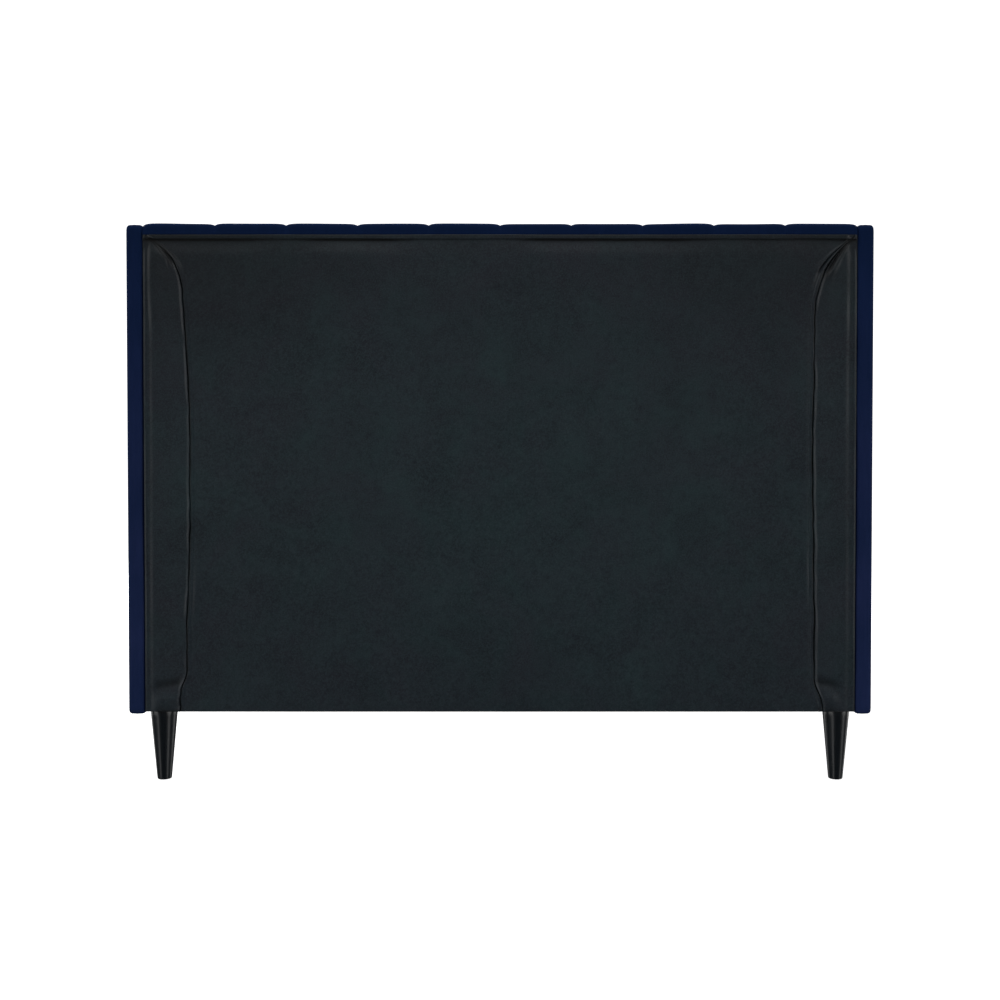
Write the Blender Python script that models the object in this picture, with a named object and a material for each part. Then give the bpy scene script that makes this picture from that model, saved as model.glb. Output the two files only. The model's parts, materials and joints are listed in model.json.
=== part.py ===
"""Queen-size upholstered bed with a channel-tufted wingback headboard, as separate pieces.

Units are metres and +Z is up. +Y points to the headboard and +X to the right of someone who
stands at the foot and looks at it. The origin is on the floor under the middle of the bed.
"""

import math

import bmesh
import bpy

# Driving dimensions
OVERALL_WIDTH = 1.673
OVERALL_LENGTH = 2.195
HEADBOARD_HEIGHT = 1.252
LEG_HEIGHT = 0.158
SLEEPING_LENGTH = 2.055
CLEARANCE = 0.0003
SHARP_ANGLE = 40
REAR_STEPS = 4

# Wings
WING_THICKNESS = 0.040
WING_DEPTH = 0.230
WING_SKIN = 0.0072
WING_BOTTOM_Z = 0.152
WING_TOP_Z = 1.2495
WING_FRONT_RADIUS = 0.060
WING_REAR_RADIUS = 0.010
WING_EDGE_RADIUS = 0.006
WING_LEAST_RADIUS = 0.002
WING_FRONT_STEPS = 8
WING_FRAME_BOTTOM_Z = 0.156

# Headboard frame and its coverings
DUST_COVER_INSET = 0.0008
DUST_COVER_THICKNESS = 0.0012
DUST_COVER_TOP_Z = 1.226
FRAME_REAR_INSET = 0.0030
FRAME_DEPTH = 0.060
POST_WIDTH = 0.100
HEAD_RAIL_HEIGHT = 0.070
MIDDLE_RAIL_Z = 0.370
TENON_SHOULDER = 0.018
TENON_LENGTH = 0.022
MORTISE_SPARE = 0.001
PANEL_THICKNESS = 0.006
LOWER_COVER_THICKNESS = 0.012

# Channel pads
CHANNELS = 10
PAD_DEPTH = 0.042
PAD_TOP = 0.014
PAD_LIP = 0.0018
PAD_BOTTOM_Z = 0.3625
PAD_REAR_RADIUS = 0.010
PAD_FRONT_RADIUS = 0.028
PAD_FOOT_RADIUS = 0.022
GROOVE_FRONT = 0.022
GROOVE_TOP = 0.005
GROOVE_LIP = 0.0005
PAD_NOSE_STEPS = 5
PAD_FOOT_STEPS = 3
PAD_STATIONS = (-1.0, -0.93, -0.75, -0.4, 0.0, 0.4, 0.75, 0.93, 1.0)

# Legs and their bolts
LEG_TOP_RADIUS = 0.0300
LEG_BOTTOM_RADIUS = 0.0158
LEG_TOE = 0.002
LEG_INSET_X = 0.033
LEG_SIDES = 28
BOLT_RADIUS = 0.004
BOLT_HALF_LENGTH = 0.034
BOLT_POINT = 0.001
BOLT_SIDES = 12
BORE_SPARE = 0.002

# Side and foot rails
RAIL_THICKNESS = 0.022
RAIL_SKIN = 0.0057
RAIL_EDGE_SKIN = 0.004
RAIL_OUTER_X = 0.7925
RAIL_BOTTOM_Z = 0.158
RAIL_TOP_Z = 0.358
BLOCK_SIZE = 0.070
LEDGER_WIDTH = 0.025
LEDGER_HEIGHT = 0.032
BRACKET_THICKNESS = 0.003
BRACKET_REACH = 0.060
BRACKET_LOW_Z = 0.164
BRACKET_HIGH_Z = 0.228
TIMBER_EDGE = 0.0015

# Slats and the middle support
SLATS = 11
SLAT_WIDTH = 0.090
SLAT_THICKNESS = 0.018
SLAT_TOP_Z = 0.283
SLAT_END_PLAY = 0.010
SLAT_EDGE = 0.002
BEAM_WIDTH = 0.045
BEAM_HEIGHT = 0.060
HANGER_THICKNESS = 0.0025
HANGER_REACH = 0.045
HANGER_HEIGHT = 0.050
CENTRE_LEG_FROM_REAR = (0.80, 1.48)
CENTRE_LEG_TOP_RADIUS = 0.023
CENTRE_LEG_BOTTOM_RADIUS = 0.019
CENTRE_LEG_BORE_DEPTH = 0.060
FOOT_RADIUS = 0.020
FOOT_RIM_HEIGHT = 0.005
FOOT_HEIGHT = 0.010
FOOT_HUB_RADIUS = 0.009
FOOT_STEM_LENGTH = 0.046

# Places worked out from the driving dimensions
REAR_Y = OVERALL_LENGTH / 2
INNER_X = OVERALL_WIDTH / 2 - WING_THICKNESS
FRAME_REAR_Y = REAR_Y - FRAME_REAR_INSET
FRAME_FRONT_Y = FRAME_REAR_Y - FRAME_DEPTH
FRAME_TOP_Z = HEADBOARD_HEIGHT - PAD_TOP
FRAME_BOTTOM_Z = LEG_HEIGHT + CLEARANCE
POST_OUTER_X = INNER_X - CLEARANCE
POST_INNER_X = POST_OUTER_X - POST_WIDTH
PANEL_REAR_Y = FRAME_FRONT_Y - CLEARANCE
PANEL_FRONT_Y = PANEL_REAR_Y - PANEL_THICKNESS
PAD_FRONT_Y = PANEL_FRONT_Y - PAD_DEPTH
LOWER_COVER_FRONT_Y = PANEL_FRONT_Y - CLEARANCE - LOWER_COVER_THICKNESS
RAIL_HEAD_Y = LOWER_COVER_FRONT_Y - CLEARANCE
FOOT_INNER_Y = PAD_FRONT_Y - SLEEPING_LENGTH
BOARD_OUTER_X = RAIL_OUTER_X - RAIL_SKIN - CLEARANCE
BOARD_INNER_X = BOARD_OUTER_X - RAIL_THICKNESS
BOARD_BOTTOM_Z = RAIL_BOTTOM_Z + RAIL_EDGE_SKIN + CLEARANCE
BOARD_TOP_Z = RAIL_TOP_Z - RAIL_EDGE_SKIN - CLEARANCE
LEDGER_TOP_Z = SLAT_TOP_Z - SLAT_THICKNESS - CLEARANCE
BEAM_BOTTOM_Z = LEDGER_TOP_Z - BEAM_HEIGHT
LEG_HEAD_X = INNER_X - LEG_INSET_X
LEG_HEAD_Y = FRAME_REAR_Y - FRAME_DEPTH / 2
BLOCK_OUTER_X = BOARD_INNER_X - CLEARANCE
BLOCK_LOW_Y = FOOT_INNER_Y + CLEARANCE
LEG_FOOT_X = BLOCK_OUTER_X - BLOCK_SIZE / 2
LEG_FOOT_Y = BLOCK_LOW_Y + BLOCK_SIZE / 2

SIDES = {"left": -1, "right": 1}

# Slot: (colour, roughness, metallic)
MATERIALS = {
    "velvet": ((0.008, 0.013, 0.038, 1), 0.75, 0.0),
    "dust_cover": ((0.013, 0.020, 0.024, 1), 0.85, 0.0),
    "leg_lacquer": ((0.006, 0.007, 0.009, 1), 0.18, 0.0),
    "timber": ((0.58, 0.40, 0.22, 1), 0.60, 0.0),
    "plywood": ((0.62, 0.45, 0.27, 1), 0.62, 0.0),
    "slat_wood": ((0.68, 0.52, 0.33, 1), 0.58, 0.0),
    "steel": ((0.04, 0.04, 0.045, 1), 0.42, 0.6),
    "plastic": ((0.015, 0.015, 0.016, 1), 0.50, 0.0),
}


def clear_scene():
    for old in list(bpy.data.objects):
        bpy.data.objects.remove(old, do_unlink=True)


def material(slot):
    """The slot's Principled material, made the first time it is asked for."""
    if slot in bpy.data.materials:
        return bpy.data.materials[slot]
    colour, roughness, metallic = MATERIALS[slot]
    made = bpy.data.materials.new(slot)
    made.use_nodes = True
    shader = made.node_tree.nodes["Principled BSDF"]
    shader.inputs["Base Color"].default_value = colour
    shader.inputs["Roughness"].default_value = roughness
    shader.inputs["Metallic"].default_value = metallic
    return made


def add_object(name, slot, bm, location=(0.0, 0.0, 0.0)):
    """One scene object from a bmesh whose points are measured from location."""
    bmesh.ops.recalc_face_normals(bm, faces=bm.faces)
    mesh = bpy.data.meshes.new(name)
    bm.to_mesh(mesh)
    bm.free()
    mesh.materials.append(material(slot))
    made = bpy.data.objects.new(name, mesh)
    made.location = location
    bpy.context.scene.collection.objects.link(made)
    return made


def bevel(made, width, segments=1):
    modifier = made.modifiers.new("Bevel", "BEVEL")
    modifier.width = width
    modifier.segments = segments
    modifier.limit_method = "ANGLE"
    return made


def box(name, slot, low, high, edge=0.0, segments=1):
    """A box between two corners, its edges eased by edge."""
    size = [h - l for l, h in zip(low, high)]
    middle = [(h + l) / 2 for l, h in zip(low, high)]
    bm = bmesh.new()
    bmesh.ops.create_cube(bm, size=1.0)
    bmesh.ops.scale(bm, vec=size, verts=bm.verts)
    made = add_object(name, slot, bm, middle)
    return bevel(made, edge, segments) if edge else made


def sided_box(name, slot, side, low, high, edge=0.0):
    """A box given for the right-hand side, mirrored in X for the left."""
    across = sorted((side * low[0], side * high[0]))
    return box(name, slot, (across[0], *low[1:]), (across[1], *high[1:]), edge)


def prism(name, slot, outline, start, end, place):
    """An outline of (a, b) points, closed and pushed from start to end. place(a, b, t) gives a 3-D point."""
    bm = bmesh.new()
    face = bm.faces.new([bm.verts.new(place(a, b, start)) for a, b in outline])
    pushed = bmesh.ops.extrude_face_region(bm, geom=[face])["geom"]
    shift = [e - s for s, e in zip(place(0, 0, start), place(0, 0, end))]
    bmesh.ops.translate(bm, vec=shift, verts=[v for v in pushed if isinstance(v, bmesh.types.BMVert)])
    return add_object(name, slot, bm)


def turned(name, slot, profile, location, sides):
    """A turned piece: its profile of (radius, height) points runs from the axis back to the axis."""
    bm = bmesh.new()
    line = [bm.verts.new((radius, 0, height)) for radius, height in profile]
    edges = [bm.edges.new(pair) for pair in zip(line, line[1:])]
    bmesh.ops.spin(
        bm,
        geom=line + edges,
        cent=(0, 0, 0),
        axis=(0, 0, 1),
        angle=2 * math.pi,
        steps=sides,
        use_merge=True,
    )
    bmesh.ops.remove_doubles(bm, verts=bm.verts, dist=1e-6)
    made = add_object(name, slot, bm, location)
    made.data.shade_smooth()
    made.data.set_sharp_from_angle(angle=math.radians(SHARP_ANGLE))
    return made


def arc(centre, radius, start, end, steps):
    """Points on an arc from one angle to another, in degrees."""
    turns = [math.radians(start + (end - start) * i / steps) for i in range(steps + 1)]
    return [(centre[0] + radius * math.cos(t), centre[1] + radius * math.sin(t)) for t in turns]


def cut(made, cutter):
    """Cuts made with another object, which stays as a hidden guide."""
    cutter.hide_render = True
    cutter.display_type = "WIRE"
    modifier = made.modifiers.new("Cut", "BOOLEAN")
    modifier.operation = "DIFFERENCE"
    modifier.object = cutter
    return made


def bolt_bore(made, x, y, z):
    """Cuts a blind bore for a hanger bolt, up from the face at height z."""
    radius = BOLT_RADIUS + CLEARANCE
    depth = BOLT_HALF_LENGTH + BORE_SPARE
    profile = [(0, -BORE_SPARE), (radius, -BORE_SPARE), (radius, depth), (0, depth)]
    return cut(made, turned(f"{made.name}_bore", "steel", profile, (x, y, z), BOLT_SIDES))


def head_rail_heights():
    """The lowest height of each headboard rail."""
    return {
        "bottom": FRAME_BOTTOM_Z,
        "middle": MIDDLE_RAIL_Z - HEAD_RAIL_HEIGHT / 2,
        "top": FRAME_TOP_Z - HEAD_RAIL_HEIGHT,
    }


def headboard_posts():
    for label, side in SIDES.items():
        low = (POST_INNER_X, FRAME_FRONT_Y, FRAME_BOTTOM_Z)
        high = (POST_OUTER_X, FRAME_REAR_Y, FRAME_TOP_Z)
        post = sided_box(f"headboard_post_{label}", "timber", side, low, high)
        bolt_bore(post, side * LEG_HEAD_X, LEG_HEAD_Y, FRAME_BOTTOM_Z)
        shoulder = TENON_SHOULDER - CLEARANCE
        for rail, z in head_rail_heights().items():
            mortise_low = (POST_INNER_X - MORTISE_SPARE, FRAME_FRONT_Y + shoulder, z + shoulder)
            mortise_high = (
                POST_INNER_X + TENON_LENGTH + MORTISE_SPARE,
                FRAME_REAR_Y - shoulder,
                z + HEAD_RAIL_HEIGHT - shoulder,
            )
            cut(post, sided_box(f"{post.name}_{rail}_mortise", "timber", side, mortise_low, mortise_high))


def headboard_rails():
    """Rails between the posts. Each end face is inset and pushed out as a tenon."""
    half = POST_INNER_X - CLEARANCE
    for rail, z in head_rail_heights().items():
        bm = bmesh.new()
        bmesh.ops.create_cube(bm, size=1.0)
        bmesh.ops.scale(bm, vec=(2 * half, FRAME_DEPTH, HEAD_RAIL_HEIGHT), verts=bm.verts)
        for face in [f for f in bm.faces if abs(f.normal.x) > 0.5]:
            outward = face.normal.copy()
            bmesh.ops.inset_region(bm, faces=[face], thickness=TENON_SHOULDER, use_even_offset=True)
            tenon = bmesh.ops.extrude_face_region(bm, geom=[face])["geom"]
            corners = [v for v in tenon if isinstance(v, bmesh.types.BMVert)]
            bmesh.ops.translate(bm, vec=outward * TENON_LENGTH, verts=corners)
            bmesh.ops.delete(bm, geom=[face], context="FACES_ONLY")
        middle = (0, (FRAME_FRONT_Y + FRAME_REAR_Y) / 2, z + HEAD_RAIL_HEIGHT / 2)
        add_object(f"headboard_{rail}_rail", "timber", bm, middle)


def headboard_panels():
    reach = INNER_X - CLEARANCE
    box(
        "headboard_panel",
        "plywood",
        (-reach, PANEL_FRONT_Y, FRAME_BOTTOM_Z),
        (reach, PANEL_REAR_Y, FRAME_TOP_Z),
    )
    box(
        "headboard_lower_cover",
        "velvet",
        (-reach, LOWER_COVER_FRONT_Y, FRAME_BOTTOM_Z),
        (reach, PANEL_FRONT_Y - CLEARANCE, PAD_BOTTOM_Z - CLEARANCE),
    )
    rear = REAR_Y - DUST_COVER_INSET
    box(
        "dust_cover",
        "dust_cover",
        (-reach, rear - DUST_COVER_THICKNESS, FRAME_BOTTOM_Z),
        (reach, rear, DUST_COVER_TOP_Z),
    )


def pad_arc(centre, radius, start, steps, groove_start, groove_end):
    """A quarter turn as (y, z, groove depth), the depth going evenly from its start to its end."""
    return [
        (y, z, groove_start + (groove_end - groove_start) * i / steps)
        for i, (y, z) in enumerate(arc(centre, radius, start, start + 90, steps))
    ]


def pad_outer_path():
    """The pad's outside from the rear lip over the top and down the front, as (y, z, groove depth)."""
    rear, front, top = FRAME_REAR_Y + PAD_LIP, PAD_FRONT_Y, HEADBOARD_HEIGHT
    over_at = (rear - PAD_REAR_RADIUS, top - PAD_REAR_RADIUS)
    nose_at = (front + PAD_FRONT_RADIUS, top - PAD_FRONT_RADIUS)
    foot_at = (front + PAD_FOOT_RADIUS, PAD_BOTTOM_Z + PAD_FOOT_RADIUS)
    lip = [(rear, DUST_COVER_TOP_Z + CLEARANCE, GROOVE_LIP)]
    over = pad_arc(over_at, PAD_REAR_RADIUS, 0, REAR_STEPS, GROOVE_LIP, GROOVE_TOP)
    nose = pad_arc(nose_at, PAD_FRONT_RADIUS, 90, PAD_NOSE_STEPS, GROOVE_TOP, GROOVE_FRONT)
    foot = pad_arc(foot_at, PAD_FOOT_RADIUS, 180, PAD_FOOT_STEPS, GROOVE_FRONT, GROOVE_FRONT)
    foot[-1] = (*foot[-1][:2], 0.0)
    return lip + over + nose + foot


def pad_ring(share):
    """One closed section of a pad. share is 0 at its middle and 1 at its side seams."""
    middle_y, middle_z = (FRAME_FRONT_Y + FRAME_REAR_Y) / 2, FRAME_TOP_Z - PAD_DEPTH
    ring = []
    for y, z, groove in pad_outer_path():
        out_y, out_z = y - middle_y, max(z - middle_z, 0.0)
        if z < middle_z:
            out_y, out_z = -1.0, 0.0
        reach = math.hypot(out_y, out_z)
        back = groove * share
        ring.append((y - back * out_y / reach, z - back * out_z / reach))
    inner = [
        (PANEL_FRONT_Y - CLEARANCE, PAD_BOTTOM_Z),
        (PANEL_FRONT_Y - CLEARANCE, FRAME_TOP_Z + CLEARANCE),
        (FRAME_REAR_Y + CLEARANCE, FRAME_TOP_Z + CLEARANCE),
        (FRAME_REAR_Y + CLEARANCE, DUST_COVER_TOP_Z + CLEARANCE),
    ]
    return ring + inner


def channel_pads():
    """Ten crowned pads, each a row of sections skinned from side seam to side seam."""
    pitch = 2 * INNER_X / CHANNELS
    half = pitch / 2 - CLEARANCE
    for i in range(CHANNELS):
        bm = bmesh.new()
        rings = []
        for station in PAD_STATIONS:
            share = 1 - math.sqrt(1 - station**2)
            rings.append([bm.verts.new((half * station, y, z)) for y, z in pad_ring(share)])
        for a, b in zip(rings, rings[1:]):
            for j in range(len(a)):
                k = (j + 1) % len(a)
                bm.faces.new((a[j], a[k], b[k], b[j]))
        bm.faces.new(rings[0])
        bm.faces.new(rings[-1])
        centre = -INNER_X + pitch * (i + 0.5)
        add_object(f"channel_pad_{i + 1:02d}", "velvet", bm, (centre, 0, 0))


def wing_outline(inset, bottom):
    """A wing seen from its side, with a large radius at the top front corner."""
    rear, front, top = REAR_Y - inset, REAR_Y - WING_DEPTH + inset, WING_TOP_Z - inset
    big = WING_FRONT_RADIUS - inset
    small = max(WING_REAR_RADIUS - inset, WING_LEAST_RADIUS)
    return [
        (front, bottom),
        (rear, bottom),
        *arc((rear - small, top - small), small, 0, 90, REAR_STEPS),
        *arc((front + big, top - big), big, 90, 180, WING_FRONT_STEPS),
    ]


def wings():
    def across(y, z, x):
        return (x, y, z)

    outer = OVERALL_WIDTH / 2
    for label, side in SIDES.items():
        ends = (side * INNER_X, side * outer)
        cover = prism(f"wing_cover_{label}", "velvet", wing_outline(0.0, WING_BOTTOM_Z), *ends, across)
        bevel(cover, WING_EDGE_RADIUS, 2)
        walls = (side * (INNER_X + WING_SKIN), side * (outer - WING_SKIN))
        hollow_bottom = WING_BOTTOM_Z - WING_SKIN
        hollow_outline = wing_outline(WING_SKIN, hollow_bottom)
        hollow = prism(f"{cover.name}_hollow", "velvet", hollow_outline, *walls, across)
        cut(cover, hollow)
        skin = WING_SKIN + CLEARANCE
        faces = (side * (INNER_X + skin), side * (outer - skin))
        outline = wing_outline(skin, WING_FRAME_BOTTOM_Z)
        prism(f"wing_frame_{label}", "plywood", outline, *faces, across)


def legs():
    """Tapered legs with a bore down from the top for their hanger bolts."""
    bore = BOLT_RADIUS + CLEARANCE
    bore_end = LEG_HEIGHT - BOLT_HALF_LENGTH - BORE_SPARE
    leg = [
        (0, 0),
        (LEG_BOTTOM_RADIUS - LEG_TOE, 0),
        (LEG_BOTTOM_RADIUS, LEG_TOE),
        (LEG_TOP_RADIUS, LEG_HEIGHT),
        (bore, LEG_HEIGHT),
        (bore, bore_end),
        (0, bore_end),
    ]
    bolt = [
        (0, -BOLT_HALF_LENGTH),
        (BOLT_RADIUS - BOLT_POINT, -BOLT_HALF_LENGTH),
        (BOLT_RADIUS, BOLT_POINT - BOLT_HALF_LENGTH),
        (BOLT_RADIUS, BOLT_HALF_LENGTH - BOLT_POINT),
        (BOLT_RADIUS - BOLT_POINT, BOLT_HALF_LENGTH),
        (0, BOLT_HALF_LENGTH),
    ]
    for label, side in SIDES.items():
        for end, x, y in (("head", LEG_HEAD_X, LEG_HEAD_Y), ("foot", LEG_FOOT_X, LEG_FOOT_Y)):
            turned(f"leg_{end}_{label}", "leg_lacquer", leg, (side * x, y, 0), LEG_SIDES)
            turned(f"leg_bolt_{end}_{label}", "steel", bolt, (side * x, y, LEG_HEIGHT), BOLT_SIDES)


def side_rails():
    """Boards with a padded cover on their outer face, top and bottom edge, and what is screwed to them."""
    block_high_y = BLOCK_LOW_Y + BLOCK_SIZE
    board_foot_y = FOOT_INNER_Y + CLEARANCE
    cover_section = [
        (BOARD_INNER_X, RAIL_BOTTOM_Z),
        (RAIL_OUTER_X, RAIL_BOTTOM_Z),
        (RAIL_OUTER_X, RAIL_TOP_Z),
        (BOARD_INNER_X, RAIL_TOP_Z),
        (BOARD_INNER_X, BOARD_TOP_Z + CLEARANCE),
        (BOARD_OUTER_X + CLEARANCE, BOARD_TOP_Z + CLEARANCE),
        (BOARD_OUTER_X + CLEARANCE, BOARD_BOTTOM_Z - CLEARANCE),
        (BOARD_INNER_X, BOARD_BOTTOM_Z - CLEARANCE),
    ]
    for label, side in SIDES.items():
        sided_box(
            f"side_rail_{label}",
            "timber",
            side,
            (BOARD_INNER_X, board_foot_y, BOARD_BOTTOM_Z),
            (BOARD_OUTER_X, RAIL_HEAD_Y, BOARD_TOP_Z),
            TIMBER_EDGE,
        )
        prism(
            f"side_rail_cover_{label}",
            "velvet",
            cover_section,
            board_foot_y,
            RAIL_HEAD_Y,
            lambda x, z, y, side=side: (side * x, y, z),
        )
        sided_box(
            f"slat_ledger_{label}",
            "timber",
            side,
            (BLOCK_OUTER_X - LEDGER_WIDTH, block_high_y + CLEARANCE, LEDGER_TOP_Z - LEDGER_HEIGHT),
            (BLOCK_OUTER_X, RAIL_HEAD_Y, LEDGER_TOP_Z),
            TIMBER_EDGE,
        )
        block = sided_box(
            f"corner_block_{label}",
            "timber",
            side,
            (BLOCK_OUTER_X - BLOCK_SIZE, BLOCK_LOW_Y, FRAME_BOTTOM_Z),
            (BLOCK_OUTER_X, block_high_y, LEDGER_TOP_Z),
            TIMBER_EDGE,
        )
        bolt_bore(block, side * LEG_FOOT_X, LEG_FOOT_Y, FRAME_BOTTOM_Z)
        rail_bracket(label, side)


def rail_bracket(label, side):
    """A steel angle: one leaf lies on the side rail, the other on the headboard."""
    corner_x, corner_y = BLOCK_OUTER_X, RAIL_HEAD_Y
    outline = [
        (corner_x, corner_y),
        (corner_x, corner_y - BRACKET_REACH),
        (corner_x - BRACKET_THICKNESS, corner_y - BRACKET_REACH),
        (corner_x - BRACKET_THICKNESS, corner_y - BRACKET_THICKNESS),
        (corner_x - BRACKET_REACH, corner_y - BRACKET_THICKNESS),
        (corner_x - BRACKET_REACH, corner_y),
    ]
    prism(
        f"rail_bracket_{label}",
        "steel",
        outline,
        BRACKET_LOW_Z,
        BRACKET_HIGH_Z,
        lambda x, y, z: (side * x, y, z),
    )


def foot_rail():
    """A board across the foot inside a padded cover that is open towards the mattress."""
    board_front = FOOT_INNER_Y - RAIL_THICKNESS
    box(
        "foot_rail",
        "timber",
        (-BOARD_OUTER_X, board_front, BOARD_BOTTOM_Z),
        (BOARD_OUTER_X, FOOT_INNER_Y, BOARD_TOP_Z),
        TIMBER_EDGE,
    )
    cover = box(
        "foot_rail_cover",
        "velvet",
        (-RAIL_OUTER_X, -REAR_Y, RAIL_BOTTOM_Z),
        (RAIL_OUTER_X, FOOT_INNER_Y, RAIL_TOP_Z),
    )
    hollow_x = BOARD_OUTER_X + CLEARANCE
    hollow = box(
        "foot_rail_cover_hollow",
        "velvet",
        (-hollow_x, board_front - CLEARANCE, BOARD_BOTTOM_Z - CLEARANCE),
        (hollow_x, FOOT_INNER_Y + RAIL_SKIN, BOARD_TOP_Z + CLEARANCE),
    )
    cut(cover, hollow)


def slats():
    """Evenly spread boards that rest on the ledgers and the centre beam."""
    half = BOARD_INNER_X - SLAT_END_PLAY
    gap = (SLEEPING_LENGTH - SLATS * SLAT_WIDTH) / (SLATS + 1)
    for i in range(SLATS):
        low_y = FOOT_INNER_Y + gap + i * (SLAT_WIDTH + gap)
        box(
            f"slat_{i + 1:02d}",
            "slat_wood",
            (-half, low_y, SLAT_TOP_Z - SLAT_THICKNESS),
            (half, low_y + SLAT_WIDTH, SLAT_TOP_Z),
            SLAT_EDGE,
        )


def beam_hanger(label, wall_y, towards):
    """A steel saddle for one end of the beam, on a wall at wall_y. towards is where the beam goes in Y."""
    inner = BEAM_WIDTH / 2 + CLEARANCE
    outer = inner + HANGER_THICKNESS
    floor = BEAM_BOTTOM_Z - CLEARANCE
    back = wall_y + towards * HANGER_THICKNESS
    tip = wall_y + towards * HANGER_REACH
    spare = towards * HANGER_THICKNESS
    hanger = box(
        f"beam_hanger_{label}",
        "steel",
        (-outer, min(wall_y, tip), floor - HANGER_THICKNESS),
        (outer, max(wall_y, tip), floor + HANGER_HEIGHT),
    )
    saddle = box(
        f"{hanger.name}_saddle",
        "steel",
        (-inner, min(back, tip + spare), floor),
        (inner, max(back, tip + spare), floor + HANGER_HEIGHT + HANGER_THICKNESS),
    )
    cut(hanger, saddle)


def middle_support():
    """The centre beam, its hangers, and its legs with screw feet that let each leg meet an uneven floor."""
    head_y = RAIL_HEAD_Y
    foot_y = FOOT_INNER_Y + CLEARANCE
    beam_gap = HANGER_THICKNESS + CLEARANCE
    box(
        "centre_beam",
        "timber",
        (-BEAM_WIDTH / 2, foot_y + beam_gap, BEAM_BOTTOM_Z),
        (BEAM_WIDTH / 2, head_y - beam_gap, LEDGER_TOP_Z),
        TIMBER_EDGE,
    )
    beam_hanger("head", head_y, -1)
    beam_hanger("foot", foot_y, 1)

    bore = BOLT_RADIUS + CLEARANCE
    leg_bottom = FOOT_HEIGHT + CLEARANCE
    leg_top = BEAM_BOTTOM_Z - CLEARANCE
    leg = [
        (0, leg_bottom + CENTRE_LEG_BORE_DEPTH),
        (bore, leg_bottom + CENTRE_LEG_BORE_DEPTH),
        (bore, leg_bottom),
        (CENTRE_LEG_BOTTOM_RADIUS, leg_bottom),
        (CENTRE_LEG_TOP_RADIUS, leg_top),
        (0, leg_top),
    ]
    foot = [
        (0, 0),
        (FOOT_RADIUS, 0),
        (FOOT_RADIUS, FOOT_RIM_HEIGHT),
        (FOOT_HUB_RADIUS, FOOT_HEIGHT),
        (BOLT_RADIUS, FOOT_HEIGHT),
        (BOLT_RADIUS, FOOT_HEIGHT + FOOT_STEM_LENGTH),
        (0, FOOT_HEIGHT + FOOT_STEM_LENGTH),
    ]
    for number, from_rear in enumerate(CENTRE_LEG_FROM_REAR, 1):
        place = (0, REAR_Y - from_rear, 0)
        turned(f"centre_leg_{number}", "plastic", leg, place, LEG_SIDES)
        turned(f"levelling_foot_{number}", "plastic", foot, place, LEG_SIDES)


def main():
    clear_scene()
    headboard_posts()
    headboard_rails()
    headboard_panels()
    channel_pads()
    wings()
    legs()
    side_rails()
    foot_rail()
    slats()
    middle_support()


main()
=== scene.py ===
"""Looks for the upholstered wingback bed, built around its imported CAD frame.

Metres, +Z up, +Y towards the headboard's rear face, which the camera looks at.
Places come from the frame's own boxes; the named sizes below are those of the upholstery.
"Left" is -X and "right" is +X, as for someone who stands at the foot of the bed.
"""

import json
import math

import bmesh
import bpy
import numpy as np
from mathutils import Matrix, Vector


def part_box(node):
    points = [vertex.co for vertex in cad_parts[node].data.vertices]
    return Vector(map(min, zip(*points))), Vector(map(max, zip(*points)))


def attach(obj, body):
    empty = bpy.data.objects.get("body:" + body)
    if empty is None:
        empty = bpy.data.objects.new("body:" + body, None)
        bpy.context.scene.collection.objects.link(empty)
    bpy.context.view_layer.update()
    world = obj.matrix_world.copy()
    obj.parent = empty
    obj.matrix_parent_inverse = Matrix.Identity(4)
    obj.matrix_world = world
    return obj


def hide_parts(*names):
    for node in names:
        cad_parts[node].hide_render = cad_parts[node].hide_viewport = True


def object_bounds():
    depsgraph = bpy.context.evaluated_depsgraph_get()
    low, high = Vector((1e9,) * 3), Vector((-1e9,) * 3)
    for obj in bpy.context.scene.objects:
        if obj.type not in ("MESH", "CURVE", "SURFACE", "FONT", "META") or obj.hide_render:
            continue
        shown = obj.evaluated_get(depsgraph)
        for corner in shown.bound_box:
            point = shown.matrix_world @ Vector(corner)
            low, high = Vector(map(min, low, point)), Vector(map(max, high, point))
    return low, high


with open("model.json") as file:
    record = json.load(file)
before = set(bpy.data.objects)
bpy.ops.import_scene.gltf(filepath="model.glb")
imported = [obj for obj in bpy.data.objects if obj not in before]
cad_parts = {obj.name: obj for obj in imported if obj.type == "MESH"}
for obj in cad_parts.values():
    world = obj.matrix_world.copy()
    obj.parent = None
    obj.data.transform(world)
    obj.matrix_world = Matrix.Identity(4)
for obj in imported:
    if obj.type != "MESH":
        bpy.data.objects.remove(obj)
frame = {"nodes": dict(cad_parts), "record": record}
cad_low, cad_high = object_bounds()

BODY = "bed"
SIDES = {"left": -1, "right": 1}

# Space left between a cover and the timber inside it
GAP = 0.0003

# Painted shade on the velvet: a colour it is multiplied by, darker from the bed's foot to its top, as
# (share of height, colour)
VELVET_HEIGHT_SHADE = (
    (0.00, (1.00, 0.96, 0.97)),
    (0.50, (0.76, 0.80, 0.86)),
    (0.85, (0.42, 0.62, 0.72)),
    (0.96, (0.22, 0.46, 0.55)),
)

# Camera: straight behind the headboard, its axis a little below level
CAMERA_DISTANCE = 2.5
CAMERA_HEIGHT = 0.6812
CAMERA_FRAME_WIDTH = 2.237
CAMERA_TILT = 1.08
CAMERA_SENSOR = 36.0

# Studio
ROOM_LEVEL = 0.085
CEILING_LEVEL = 0.55
GROUND_LEVEL = 0.04
FLOOR_GLOW = 0.85
CAMERA_WHITE = 1.2
FLOOR_HALF = 30
TALL_STRIPS = ((60, 1.55), (-60, 1.55))
TALL_HALF_WIDTH = 17
LOW_STRIPS = ((44, 0.82), (-60, 0.82))
LOW_HALF_WIDTH = 9

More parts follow.
